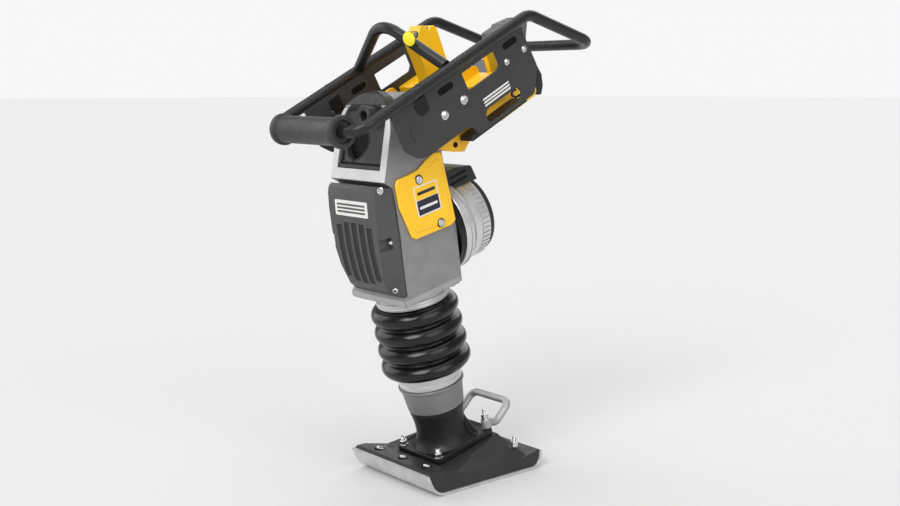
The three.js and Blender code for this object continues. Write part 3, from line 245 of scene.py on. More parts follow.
LABEL_WHITE = surface("label_white", (0.72, 0.72, 0.70), 0.35, mottle=0.03, grain=0.06,
                      slot="grey_plastic")
LABEL_DARK = surface("label_dark", (0.008, 0.010, 0.025), 0.3, mottle=0.08, grain=0.06,
                     slot="dark_plastic")


# ---------------------------------------------------------------- outlines and routes

def bend(before, corner, after, radius, steps):
    """Points along the arc that rounds a corner between two straight runs."""
    back = (before - corner).normalized()
    ahead = (after - corner).normalized()
    half = math.acos(max(-1.0, min(1.0, back.dot(ahead)))) / 2
    centre = corner + (back + ahead).normalized() * radius / math.sin(half)
    start = corner + back * radius / math.tan(half) - centre
    end = corner + ahead * radius / math.tan(half) - centre
    sweep = math.pi - 2 * half
    points = []
    for k in range(steps + 1):
        share = k / steps
        mixed = start * math.sin((1 - share) * sweep) + end * math.sin(share * sweep)
        points.append(centre + mixed / math.sin(sweep))
    return points


def rounded(corners, steps=6):
    """The outline of corners (a, b) or (a, b, radius), with true arcs at the rounded ones."""
    points = []
    for i, (a, b, *radius) in enumerate(corners):
        here = Vector((a, b))
        if not radius or not radius[0]:
            points.append(here)
            continue
        before = Vector(corners[i - 1][:2])
        after = Vector(corners[(i + 1) % len(corners)][:2])
        points += bend(before, here, after, radius[0], steps)
    return points


def rectangle(a0, b0, a1, b1, radius=0):
    """Corners of a rectangle, for rounded()."""
    return [(a0, b0, radius), (a1, b0, radius), (a1, b1, radius), (a0, b1, radius)]


def slot_hole(start, end, width):
    """Corners of a slot with round ends, for rounded()."""
    along = (Vector(end) - Vector(start)).normalized() * width / 2
    side = Vector((along.y, -along.x))
    radius = width * 0.499
    corners = (Vector(start) - along + side, Vector(end) + along + side,
               Vector(end) + along - side, Vector(start) - along - side)
    return [(corner.x, corner.y, radius) for corner in corners]


def circle(a, b, radius, steps=48):
    """The outline of a circle."""
    turn = 2 * math.pi / steps
    return [(a + radius * math.cos(i * turn), b + radius * math.sin(i * turn)) for i in range(steps)]


def bent_route(corners, radius, steps=14):
    """Points along straight runs joined by round bends."""
    corners = [Vector(corner) for corner in corners]
    route = [corners[0]]
    for before, corner, after in zip(corners, corners[1:], corners[2:]):
        route += bend(before, corner, after, radius, steps)
    route.append(corners[-1])
    return route


# ---------------------------------------------------------------- making pieces

def shifted(place, x=0, y=0, z=0):
    """A place moved by millimetres along its own axes."""
    return place @ Matrix.Translation(Vector((x, y, z)) * MM)


def placed(place, at, outward):
    """Where a small part stands: at a point in millimetres, its Z axis pointing outward."""
    turn = Vector((0, 0, 1)).rotation_difference(Vector(outward)).to_matrix().to_4x4()
    return shifted(place, *at) @ turn


def on_side(way, low, high):
    """A span across the machine on its left, or the mirrored span on its right."""
    return (low, high) if way > 0 else (-high, -low)


def finish_piece(name, mesh, place, material, body, nodes=(), sharp=32, bevel=0.0, segments=2):
    """Puts a mesh in millimetres in its place, smooths it and ties it to its body."""
    mesh.transform(place @ Matrix.Scale(MM, 4))
    mesh.name = name
    mesh.materials.clear()
    mesh.materials.append(material)
    mesh.shade_smooth()
    mesh.set_sharp_from_angle(angle=math.radians(sharp))
    piece = bpy.data.objects.new(name, mesh)
    bpy.context.scene.collection.objects.link(piece)
    if bevel:
        soften = piece.modifiers.new("soften", "BEVEL")
        soften.width = bevel * MM
        soften.segments = segments
        soften.limit_method = "ANGLE"
        soften.angle_limit = math.radians(sharp)
        soften.harden_normals = True
    if nodes:
        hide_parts(*nodes)
    if body:
        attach(piece, body)
    return piece


def from_bmesh(bm):
    """A mesh with its faces turned outward."""
    bmesh.ops.recalc_face_normals(bm, faces=bm.faces)
    mesh = bpy.data.meshes.new("shape")
    bm.to_mesh(mesh)
    bm.free()
    return mesh


def evaluated_mesh(data, *modifiers):
    """The mesh that a curve or a mesh becomes, with modifiers given as (kind, settings)."""
    holder = bpy.data.objects.new("shape", data)
    bpy.context.scene.collection.objects.link(holder)
    for kind, settings in modifiers:
        modifier = holder.modifiers.new(kind, kind)
        for key, value in settings.items():
            setattr(modifier, key, value)
    bpy.context.view_layer.update()
    mesh = bpy.data.meshes.new_from_object(holder.evaluated_get(bpy.context.evaluated_depsgraph_get()))
    bpy.data.objects.remove(holder)
    return mesh


def slab_mesh(outlines, low, high, turn, bevel):
    """A flat piece with rounded rims: the first outline is its edge, the others are its holes."""
    curve = bpy.data.curves.new("shape", "CURVE")
    curve.dimensions = "2D"
    curve.fill_mode = "BOTH"
    curve.extrude = (high - low) / 2 - bevel
    curve.bevel_depth = bevel
    curve.bevel_resolution = 2
    curve.offset = -bevel
    for outline in outlines:
        points = rounded(outline)
        spline = curve.splines.new("POLY")
        spline.points.add(len(points) - 1)
        for point, (a, b) in zip(spline.points, points):
            point.co = (a, b, 0, 1)
        spline.use_cyclic_u = True
    mesh = evaluated_mesh(curve)
    mesh.transform(turn @ Matrix.Translation((0, 0, (low + high) / 2)))
    return mesh


def slab(name, outlines, low, high, material, body, place=LEG, turn=THICK_X, bevel=0.8, nodes=()):
    """A finished flat piece, drawn by its outlines and thick from low to high."""
    mesh = slab_mesh(outlines, low, high, turn, bevel)
    return finish_piece(name, mesh, place, material, body, nodes)


def lathe_mesh(profile, turn=THICK_Z, segments=96):
    """A profile of (radius, distance) turned about the axis. It closes on itself."""
    bm = bmesh.new()
    rows = []
    for radius, distance in profile:
        if radius < 1e-6:
            rows.append([bm.verts.new((0, 0, distance))])
            continue
        angles = (2 * math.pi * i / segments for i in range(segments))
        rows.append([bm.verts.new((radius * math.cos(t), radius * math.sin(t), distance)) for t in angles])
    starts_on_axis = len(rows[0]) == 1
    for low, high in zip(rows, rows[1:] if starts_on_axis else rows[1:] + rows[:1]):
        for i in range(segments):
            k = (i + 1) % segments
            corners = (low[i % len(low)], low[k % len(low)], high[k % len(high)], high[i % len(high)])
            face = list(dict.fromkeys(corners))
            if len(face) > 2:
                bm.faces.new(face)
    mesh = from_bmesh(bm)
    mesh.transform(turn)
    return mesh


def lathe(name, profile, material, body, place=LEG, turn=THICK_Z, nodes=(), segments=96, sharp=32):
    """A finished turned piece."""
    mesh = lathe_mesh(profile, turn, segments)
    return finish_piece(name, mesh, place, material, body, nodes, sharp)


def tube_mesh(route, radius):
    """A round bar along a route, with closed ends."""
    curve = bpy.data.curves.new("shape", "CURVE")
    curve.dimensions = "3D"
    curve.bevel_depth = radius
    curve.bevel_resolution = 10
    curve.use_fill_caps = True
    spline = curve.splines.new("POLY")
    spline.points.add(len(route) - 1)
    for point, station in zip(spline.points, route):
        point.co = (*station, 1)
    return evaluated_mesh(curve)


def joined(*meshes):
    """Several meshes as one."""
    bm = bmesh.new()
    for mesh in meshes:
        bm.from_mesh(mesh)
        bpy.data.meshes.remove(mesh)
    mesh = bpy.data.meshes.new("shape")
    bm.to_mesh(mesh)
    bm.free()
    return mesh


def block_mesh(low, high):
    """A block between two opposite corners."""
    bm = bmesh.new()
    bmesh.ops.create_cube(bm, size=1)
    size = Vector(high) - Vector(low)
    centre = (Vector(high) + Vector(low)) / 2
    bmesh.ops.scale(bm, vec=size, verts=bm.verts)
    bmesh.ops.translate(bm, vec=centre, verts=bm.verts)
    return from_bmesh(bm)


def cast_together(mesh, voxel, smooth):
    """One skin over several meshes, with the small fillets of a casting."""
    return evaluated_mesh(mesh, ("REMESH", {"mode": "VOXEL", "voxel_size": voxel}),
                          ("SMOOTH", {"iterations": smooth}))


def refined(node, material, body, bevel=1.2, segments=2, sharp=25):
    """A CAD part with its flat faces joined, its round faces smoothed and its edges softened."""
    bm = bmesh.new()
    bm.from_mesh(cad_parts[node].data)
    bmesh.ops.remove_doubles(bm, verts=bm.verts, dist=0.02 * MM)
    bmesh.ops.dissolve_limit(bm, angle_limit=math.radians(0.6), verts=bm.verts, edges=bm.edges)
    bmesh.ops.scale(bm, vec=(1 / MM,) * 3, verts=bm.verts)
    mesh = from_bmesh(bm)
    return finish_piece(f"{node}_skin", mesh, GROUND, material, body, (node,), sharp, bevel, segments)


def cap_screw(name, place, at, outward, body, radius=6.5, height=4.5, material=ZINC):
    """A round-headed screw with a socket, on its washer."""
    washer = lathe_mesh([(0, -0.4), (radius * 1.25, -0.4), (radius * 1.25, 0.7), (radius * 1.15, 1.0),
                         (0, 1.0)], segments=40)
    head = lathe_mesh([(radius * 0.5, 0.8), (radius, 0.8), (radius, height * 0.6), (radius * 0.8, height),
                       (radius * 0.55, height), (radius * 0.5, height * 0.35), (0.01, height * 0.3),
                       (0.01, 0.8)], segments=36)
    return finish_piece(name, joined(washer, head), placed(place, at, outward), material, body)


def hex_bolt(name, place, at, outward, body, across=15, height=7, washer=10.5):
    """A flanged hexagon bolt head."""
    radius = across / math.sqrt(3)
    disc = lathe_mesh([(0, -0.4), (washer, -0.4), (washer, 1.4), (washer - 1, 2), (0, 2)], segments=40)
    head = lathe_mesh([(0, 1.8), (radius, 1.8), (radius, height - 1.2), (radius * 0.86, height),
                       (0, height)], segments=6)
    dimple = lathe_mesh([(0, height - 0.3), (radius * 0.6, height - 0.3), (radius * 0.55, height + 0.4),
                         (0, height + 0.4)], segments=32)
    return finish_piece(name, joined(disc, head, dimple), placed(place, at, outward), ZINC, body)


def stud(name, place, seat, body, nodes=()):
    """A threaded stud with its washer and nut, on a seat at that height."""
    across, pitch = 15, 1.3
    radius = across / math.sqrt(3)
    washer = lathe_mesh([(0, seat), (9.5, seat), (9.5, seat + 2), (9, seat + 2.5), (0, seat + 2.5)],
                        segments=40)
    nut = lathe_mesh([(0, seat + 2.5), (radius * 0.9, seat + 2.5), (radius, seat + 3.5),
                      (radius, seat + 11), (radius * 0.88, seat + 12), (0, seat + 12)], segments=6)
    thread = [(0, seat + 11)]
    for i in range(8):
        thread += [(5.0, seat + 12 + pitch * i), (4.3, seat + 12 + pitch * (i + 0.5))]
    thread += [(4.0, seat + 23.4), (3.0, seat + 24), (0, seat + 24)]
    rod = lathe_mesh(thread, segments=28)
    return finish_piece(name, joined(washer, nut, rod), place, ZINC, body, nodes)


# ---------------------------------------------------------------- camera and studio

def studio():
    """The camera, the pale floor, the pale room and its soft lights."""
    camera = bpy.data.objects.new("camera", bpy.data.cameras.new("camera"))
    camera.location = CAMERA_AT
    camera.rotation_euler = (math.radians(90) - CAMERA_PITCH, 0, CAMERA_YAW)
    camera.data.lens = CAMERA_LENS
    camera.data.sensor_width = SENSOR_WIDTH
    bpy.context.scene.collection.objects.link(camera)
    bpy.context.scene.camera = camera

    bm = bmesh.new()
    bmesh.ops.create_grid(bm, x_segments=1, y_segments=1, size=FLOOR_REACH)
    floor_mesh = from_bmesh(bm)
    floor_mesh.materials.append(surface("floor", FLOOR_TONE, 0.8, mottle=0.006, grain=0.02, shine=0.1))
    floor = bpy.data.objects.new("floor", floor_mesh)
    floor.location.z = -0.0005
    bpy.context.scene.collection.objects.link(floor)

    world = bpy.data.worlds.new("studio")
    world.use_nodes = True
    nodes, links = world.node_tree.nodes, world.node_tree.links
    seen = nodes.new("ShaderNodeLightPath")
    strength = nodes.new("ShaderNodeMapRange")
    strength.inputs["To Min"].default_value = ROOM_LIGHT
    strength.inputs["To Max"].default_value = BACKDROP
    links.new(seen.outputs["Is Camera Ray"], strength.inputs["Value"])
    nodes["Background"].inputs["Color"].default_value = (1, 1, 1, 1)
    links.new(strength.outputs["Result"], nodes["Background"].inputs["Strength"])
    bpy.context.scene.world = world
    bpy.context.scene.view_settings.view_transform = "Standard"

    for name, comes_from, strength, spread in SUNS:
        sun = bpy.data.objects.new(name, bpy.data.lights.new(name, "SUN"))
        sun.data.energy = strength
        sun.data.angle = math.radians(spread)
        sun.rotation_euler = (-Vector(comes_from)).to_track_quat("-Z", "Y").to_euler()
        bpy.context.scene.collection.objects.link(sun)


# ---------------------------------------------------------------- shoe and foot

def rocker_line(inset, steps=14):
    """The running line of the sole, front lip to rear lip, moved in by inset."""
    def curl(middle, radius, angle, lip, way):
        """An arc that lifts off the floor, then a straight lip."""
        line = []
        for i in range(steps + 1):
            turn = angle * i / steps
            line.append((middle + way * (radius - inset) * math.sin(turn),
                         radius - (radius - inset) * math.cos(turn)))
        y, z = line[-1]
        line.append((y + way * lip * math.cos(angle), z + lip * math.sin(angle)))
        return line
    front = curl(-130, 48, math.radians(64), 25.6, -1)
    rear = curl(139, 26, math.radians(80), 20.8, 1)
    return front[::-1] + rear


def shoe():
    sole = rocker_line(0) + rocker_line(6)[::-1]
    slab("sole_plate_skin", [sole], -140, 140, SOLE, "foot", GROUND, bevel=0.9, nodes=("sole_plate",))
    refined("shoe_pad", PAD, "foot", bevel=2.2, segments=3)
    off_the_ramp = (0, 0.21, 0.98)
    for i, x in enumerate((-80, 8, 92)):
        at = (x, -147.4, 56.5)
        # A near-black ring around each bolt: painted shade in its recess.
        recess = lathe_mesh([(9, -2), (12.5, -2), (12.5, 0.6), (11.5, 1.2), (9, 0.4)], segments=40)
        finish_piece(f"pad_recess_shade_{i}", recess, placed(GROUND, at, off_the_ramp), PAINTED_SHADE, "foot")
        hex_bolt(f"pad_bolt_{i}", GROUND, at, off_the_ramp, "foot", 14, 5, 9)
    for side, way in SIDES:
        stud(f"pad_stud_{side}", shifted(GROUND, way * 110, 103, 57), 0, "foot")


def corner_web(way, thick=10):
    """The web from a rear corner of the foot's flange up to its neck."""
    bm = bmesh.new()
    across = Vector((way, -1, 0)).normalized() * thick / 2
    for reach, up in ((58, 77), (57, 82), (40, 77), (41, 132)):
        spine = Vector((way * reach, reach, up))
        bm.verts.new(spine + across)
        bm.verts.new(spine - across)
    bmesh.ops.convex_hull(bm, input=bm.verts)
    return from_bmesh(bm)


def foot_casting():
    edge = rectangle(-78, -84, 78, 92, 14)
    plate = slab_mesh([edge], 66, 78, THICK_Z, 1.5)
    rim = slab_mesh([edge, rectangle(-73, -79, 73, 87, 10)], 77, 82, THICK_Z, 1.2)
    neck = lathe_mesh([
        (46.5, 84), (46.5, 170), (64.5, 170), (63.4, 160), (60.6, 148), (58.6, 130), (58.4, 116),
        (59.4, 104), (61.6, 95), (65.5, 87), (71, 81), (73, 76), (10, 76), (10, 84),
    ])
    skin = cast_together(joined(plate, rim, neck, corner_web(1), corner_web(-1)), 1.8, 6)
    finish_piece("foot_casting_skin", skin, LEG, CASTING, "foot", ("foot_casting",), sharp=60)


def foot_rings():
    lathe("lower_collar_skin", [
        (46.5, 170.4), (65, 170.4), (66, 171.4), (67.4, 184), (69.8, 204), (72, 221), (72.2, 223.6),
        (75.6, 224.4), (76.4, 225.6), (76.4, 230), (75.4, 231.3), (72, 231.4), (64, 231.4), (64, 261.4),
        (46.5, 261.4),
    ], COLLAR, "foot", nodes=("lower_collar",))
    lathe("lower_clamp_skin", [
        (64.4, 232.1), (72, 232.1), (73.4, 233), (74.4, 237), (74.4, 244), (73.6, 245), (73.6, 248),
        (74.6, 249), (75, 256), (73.6, 261.2), (64.4, 261.2),
    ], BRIGHT, "foot", nodes=("lower_bellows_clamp",))


def foot_studs_and_loop():
    for side, way in SIDES:
        for where, back, seat in (("front", -69, 78.3), ("rear", 83, 104.3)):
            stud(f"{where}_stud_{side}", shifted(LEG, way * STUD_X, back), seat, "foot",
                 (f"flange_stud_{where}_{side}",))
    left, right = ([(way * STUD_X, 88, 93.5), (way * STUD_X, 112, 82), (way * STUD_X, 164, 112)]
                   for way in (1, -1))
    loop = tube_mesh(bent_route([*left, *right[::-1]], 19), 9)
    barrels = []
    for way in (1, -1):
        barrel = lathe_mesh([(0, 82.4), (11, 82.4), (12, 83.4), (12, 103), (11, 104), (0, 104)],
                            segments=48)
        barrel.transform(Matrix.Translation((way * STUD_X, 83, 0)))
        barrels.append(barrel)
    skin = cast_together(joined(loop, *barrels), 0.9, 4)
    finish_piece("lift_loop_skin", skin, LEG, LIGHT_CAST, "foot", ("lift_loop",), sharp=60)


def bellows():
    """Round crests and narrow valleys, between the case and the foot."""
    bottom, top = 262.6, 431.9
    end, valley = 74, 77
    crests = (104, 103, 101.6, 100.6)  # from the lowest
    pitch = (top - bottom) / len(crests)
    wall = 5
    steps = 18
    outside = [(end, bottom)]
    for i, crest in enumerate(crests):
        for k in range(steps + 1):
            share = 0.04 + 0.92 * k / steps
            swell = math.sqrt(1 - (2 * share - 1) ** 2)
            outside.append((valley + (crest - valley) * swell, bottom + (i + share) * pitch))
    outside.append((end, top))
    inside = [(max(68, radius - wall), up) for radius, up in outside[::-1]]
    skin = lathe("bellows_skin", outside + inside, RUBBER, None, nodes=("bellows",), sharp=75)
    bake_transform(skin)


# ---------------------------------------------------------------- crankcase

FACE_FOOT_Y, FACE_FOOT_Z = -262, 692  # where the leaning face of the upper frame starts
FACE_RUN, FACE_RISE = 22, 138  # how it leans
FACE_TOP_Z = 852  # where the roof takes over
ROOF_SLOPES = ((-236.5, 852, 22 / 14.5), (-222, 874, 0.7))  # y and z of a point, steepness
FRAME_BOTTOM = Vector((0, FACE_FOOT_Y, FACE_FOOT_Z))
FRAME_UP = Vector((0, FACE_RUN, FACE_RISE)).normalized()
FRAME_OUT = Vector((0, -FACE_RISE, FACE_RUN)).normalized()
RIM_END = 156  # how far up the face the silver rim goes, to where the hood begins
BOSS_AT = (22, -258, 829)
POCKET = ((-28, 762), (-10, 778))
INSERT_DEPTH = 6.2  # of the dark insert behind the face


def frame_face(depth):
    """The leaning face of the upper frame: X across, Y up the face, Z out of it."""
    place = Matrix.Identity(4)
    for i, axis in enumerate((Vector((1, 0, 0)), FRAME_UP, FRAME_OUT)):
        place.col[i][:3] = axis
    place.translation = (FRAME_BOTTOM + FRAME_OUT * depth) * MM
    return place


def arch(half_width, bottom, spring, top, steps=36):
    """Upright sides with an elliptical arch over them, in ground heights along the frame's face."""
    stretch = math.hypot(FACE_RUN, FACE_RISE) / FACE_RISE
    foot = (bottom - FACE_FOOT_Z) * stretch
    outline = [(-half_width, foot), (half_width, foot)]
    for i in range(steps + 1):
        angle = math.pi * i / steps
        height = spring + (top - spring) * math.sin(angle)
        outline.append((half_width * math.cos(angle), (height - FACE_FOOT_Z) * stretch))
    return outline


def open_frame(outer, inner, limit):
    """The frame between two arches, with both of them cut off at a height: a U in one outline."""
    def sides(points):
        low = [point for point in points[2:] if point[1] <= limit]
        right = [point for point in low if point[0] > 0]
        left = [point for point in low if point[0] < 0]
        return [*left, points[0], points[1], *right]
    return [*sides(outer), *sides(inner)[::-1]]


def arch_height(x):
    """Ground height of the round top of the case."""
    return SHOULDER_Z + (ROOF_Z - SHOULDER_Z) * math.sqrt(1 - (x / CASE_HALF_WIDTH) ** 2)


def roof_height(x, y):
    """Ground height of the roof: its arch, sloping down to the face at the front."""
    slopes = (height + (y - start) * steepness for start, height, steepness in ROOF_SLOPES)
    return min(arch_height(x), ROOF_Z, *slopes)


def border(rows):
    """The vertices around the edge of a grid, in order."""
    rear = [row[-1] for row in rows[-2::-1]]
    return [row[0] for row in rows] + rows[-1][1:] + rear + rows[0][-2:0:-1]


def hood_mesh(half_width=86, rear=-201, corner=26, across=44, along=16):
    """The part of the dark insert that wraps back over the roof, with a lip along its front."""
    bm = bmesh.new()

    def layer(lift, lip):
        rows = []
        for i in range(across + 1):
            x = half_width * (2 * i / across - 1)
            front = FACE_FOOT_Y + (min(arch_height(x), FACE_TOP_Z) - FACE_FOOT_Z) * FACE_RUN / FACE_RISE
            back = rear - corner * (x / half_width) ** 4
            row = []
            for j in range(along + 1):
                share = j / along
                y = front + (back - front) * share
                height = roof_height(x, y) + lift + lip * (1 - share) ** 4
                row.append(bm.verts.new((x, y, height)))
            rows.append(row)
        for near, far in zip(rows, rows[1:]):
            for j in range(along):
                bm.faces.new((near[j], far[j], far[j + 1], near[j + 1]))
        return border(rows)

    top = layer(1.8, 0)
    under = layer(-3, -8)
    for i, vertex in enumerate(top):
        k = (i + 1) % len(top)
        bm.faces.new((vertex, top[k], under[k], under[i]))
    return from_bmesh(bm)


def case():
    refined("crankcase", CAST, "crankcase", bevel=2.0, segments=3, sharp=28)
    rim = open_frame(arch(96.8, 693, 792, 872), arch(76.6, 716.5, 815, 866), RIM_END)
    slab("frame_rim", [rim], -0.6, 0.9, FRAME_SILVER, "crankcase", frame_face(0), THICK_Z, bevel=0.5)
    finish_piece("insert_hood", hood_mesh(), GROUND, HOOD, "crankcase", bevel=0.6)
    slab("case_base_strip", [rectangle(-97.6, -91.6, 97.6, 73.2, 5), circle(0, 0, 56.8)], 461.9, 474.2,
         LIGHT_CAST, "crankcase", turn=THICK_Z, bevel=1.0)
    slab("case_base_lip", [rectangle(-95, -89, 95, 70, 4), circle(0, 0, 83.5)], 458.4, 461.8,
         LIGHT_CAST, "crankcase", turn=THICK_Z, bevel=0.8)
    for side, way in SIDES:
        for i, back in enumerate((-72, 55)):
            hex_bolt(f"base_bolt_{side}_{i}", LEG, (way * 86, back, 458.3), (0, 0, -1), "crankcase",
                     9, 4, 6)


LOUVRE_COUNT = 5
LOUVRE_PITCH = 27
LOUVRE_WIDTH = 19
LOUVRE_ENDS = ((512, 651), (515, 650), (525, 644))  # lowest and highest point, from the middle outwards
# The bowed front of the cover: points (up, back) in its side view.
COVER_FACE = ((480, -84), (506, -108), (525, -113), (550, -115), (592, -115), (630, -111.5),
              (680, -106), (712, -100), (724, -95))


def on_cover(x, up, lift=0.0):
    """A point on the bowed front of the cover, in leg coordinates, lifted off it."""
    for (low, near), (high, far) in zip(COVER_FACE, COVER_FACE[1:]):
        if up <= high:
            break
    back = near + (far - near) * (up - low) / (high - low)
    return x, back - lift, up


def louvre_mesh(place, across=10, steps=26):
    """The hollow floor of one groove, with a round section and round ends."""
    low, high = LOUVRE_ENDS[abs(place)]
    half_width = LOUVRE_WIDTH / 2 + 0.2
    half_length = (high - low) / 2 + 1
    rim_depth, depth = 2.2, 5.6
    bm = bmesh.new()
    rows = []
    for j in range(steps + 1):
        reach = -math.cos(math.pi * j / steps)
        up = (low + high) / 2 + reach * half_length
        end_shape = max(0.0, 1 - abs(reach) ** 7) ** 0.5
        row = []
        for i in range(across + 1):
            side = -math.cos(math.pi * i / across)
            hollow = math.sqrt(max(0.0, 1 - side ** 2)) * end_shape
            x = place * LOUVRE_PITCH + side * half_width
            row.append(bm.verts.new(on_cover(x, up, -rim_depth - depth * hollow)))
        rows.append(row)
    for lower, upper in zip(rows, rows[1:]):
        for i in range(across):
            bm.faces.new((lower[i], lower[i + 1], upper[i + 1], upper[i]))
    mesh = from_bmesh(bm)
    if mesh.polygons[0].normal.y > 0:
        mesh.flip_normals()
    return mesh


def front_cover():
    refined("front_cover", COVER, "crankcase", bevel=2.6, segments=3, sharp=16)
    badge = shifted(LEG, *on_cover(0, 683)) @ Matrix.Rotation(math.radians(-9), 4, "X")
    slab("badge_plate", [rectangle(-58, -17, 58, 17, 3)], -0.6, 1.4, LABEL_WHITE, "crankcase", badge,
         THICK_Y, bevel=0.5)
    for i, height in enumerate((-8, 0, 8)):
        slab(f"badge_bar_{i}", [rectangle(-50, height - 2, 50, height + 2, 1.5)], 1.2, 1.9, COVER,
             "crankcase", badge, THICK_Y, bevel=0.25)
    # The groove floors take a darker copy of the cover grey, as painted shade.
    for i in range(LOUVRE_COUNT):
        trough = louvre_mesh(i - LOUVRE_COUNT // 2)
        finish_piece(f"louvre_{i}", trough, LEG, TROUGH_SHADE, "crankcase", sharp=80)
    for side, way in SIDES:
        cap_screw(f"cover_screw_top_{side}", LEG, (way * 88.5, -84.8, 722), (way * 0.45, -0.85, 0.25),
                  "crankcase")
        cap_screw(f"cover_screw_low_{side}", LEG, (way * 80, -95.6, 502), (way * 0.55, -0.8, -0.2),
                  "crankcase")
        cap_screw(f"pocket_screw_{side}", LEG, (way * 86, -85, 607), (0, -1, 0), "crankcase", 5, 5)


def top_cover():
    refined("top_cover", INSERT, "crankcase", bevel=1.6, segments=3)
    ring = [(12, -2), (22.6, -2), (22.6, 1.6), (21, 3), (14.5, 3), (13.4, 1.6), (12, 1.0)]
    finish_piece("boss_ring", lathe_mesh(ring, segments=64), placed(GROUND, BOSS_AT, (0, -1, 0)), INSERT,
                 "crankcase")
    flat = shifted(frame_face(-INSERT_DEPTH), y=-FACE_FOOT_Z)
    lip = (slot_hole(*POCKET, 61), slot_hole(*POCKET, 57))
    slab("pocket_lip", lip, -1.0, 1.4, INSERT, "crankcase", flat, THICK_Z, bevel=0.9)
    # A near-black floor deep in the pocket: painted shade.
    slab("pocket_floor_shade", [slot_hole(*POCKET, 56)], -0.6, 0.6, PAINTED_SHADE, "crankcase",
         shifted(GROUND, y=-235.2), THICK_Y, bevel=0.3)
    slab("ledge_shadow", [rectangle(-75, 726, 75, 731)], -0.3, 0.5, PAINTED_SHADE, "crankcase", flat, THICK_Z,
         bevel=0.2)


PANEL = ((-54, 724, 6), (-46, 734, 4), (-12, 735, 6), (14, 738, 10), (37, 750, 8), (62, 760, 6),
         (84, 756, 6), (86, 601, 6), (71, 594, 5), (-30, 596, 5), (-40, 604, 5), (-56, 676, 6))
PANEL_FACE = ((-43, 715, 5), (-37, 721, 4), (-8, 722, 6), (20, 725, 10), (42, 736, 8), (63, 745, 5),
              (73, 743, 5), (75, 612, 5), (66, 608, 4), (-24, 610, 4), (-30, 616, 4), (-45, 676, 5))
PANEL_LABEL = (  # part, outline, from and to across the machine, finish
    ("back", rectangle(-14, 640, 52, 706, 3), 106.0, 106.5, LABEL_WHITE),
    ("upper", rectangle(-11, 676, 49, 703, 1), 106.3, 106.7, YELLOW),
    ("lower", rectangle(-11, 643, 49, 675, 1), 106.3, 106.7, LABEL_DARK),
    ("stripe", rectangle(-6, 655, 44, 661, 2), 106.5, 106.9, LABEL_WHITE),
    ("bar", rectangle(-6, 686, 44, 693, 2), 106.5, 106.9, LABEL_DARK),
)


def side_panels():
    for side, way in SIDES:
        slab(f"side_panel_skin_{side}", [PANEL], *on_side(way, 97.4, 104.4), YELLOW, "crankcase",
             bevel=3.2, nodes=(f"side_panel_{side}",))
        slab(f"side_panel_face_{side}", [PANEL_FACE], *on_side(way, 103.0, 106.2), YELLOW, "crankcase",
             bevel=1.5)
        for part, outline, low, high, material in PANEL_LABEL:
            slab(f"label_{part}_{side}", [outline], *on_side(way, low, high), material, "crankcase",
                 bevel=0.1)
        for i, (back, up) in enumerate(((8, 718), (42, 610))):
            outward = (way, 0, 0)
            # A near-black disc under each bolt: painted shade in its well.
            well = lathe_mesh([(0, -2), (10.4, -2), (10.4, 0.9), (9.4, 1.2), (0, 1.2)], segments=48)
            finish_piece(f"panel_well_shade_{side}_{i}", well, placed(LEG, (way * 105.6, back, up), outward),
                         PAINTED_SHADE, "crankcase")
            hex_bolt(f"panel_bolt_{side}_{i}", LEG, (way * 106.4, back, up), outward, "crankcase",
                     12, 3, 8.6)


def rings_under_case():
    lathe("base_flange_skin", [
        (56.5, 446.2), (71, 446.2), (72, 447), (72, 449.6), (80.6, 449.8), (81.8, 451), (81.8, 456),
        (80.4, 458), (81.6, 460), (81.6, 461.4), (56.5, 461.4),
    ], BRIGHT, "crankcase", nodes=("base_flange",))
    lathe("upper_clamp_skin", [
        (72.4, 432.6), (80, 432.6), (82, 434), (82.8, 438), (82, 440), (82, 442), (82.8, 444), (82, 448),
        (80, 449.4), (72.4, 449.4),
    ], BRIGHT, "crankcase", nodes=("upper_bellows_clamp",))


FIN_COUNT = 54
CAP_SCREW_COUNT = 6
CAP_SCREW_RING = 75


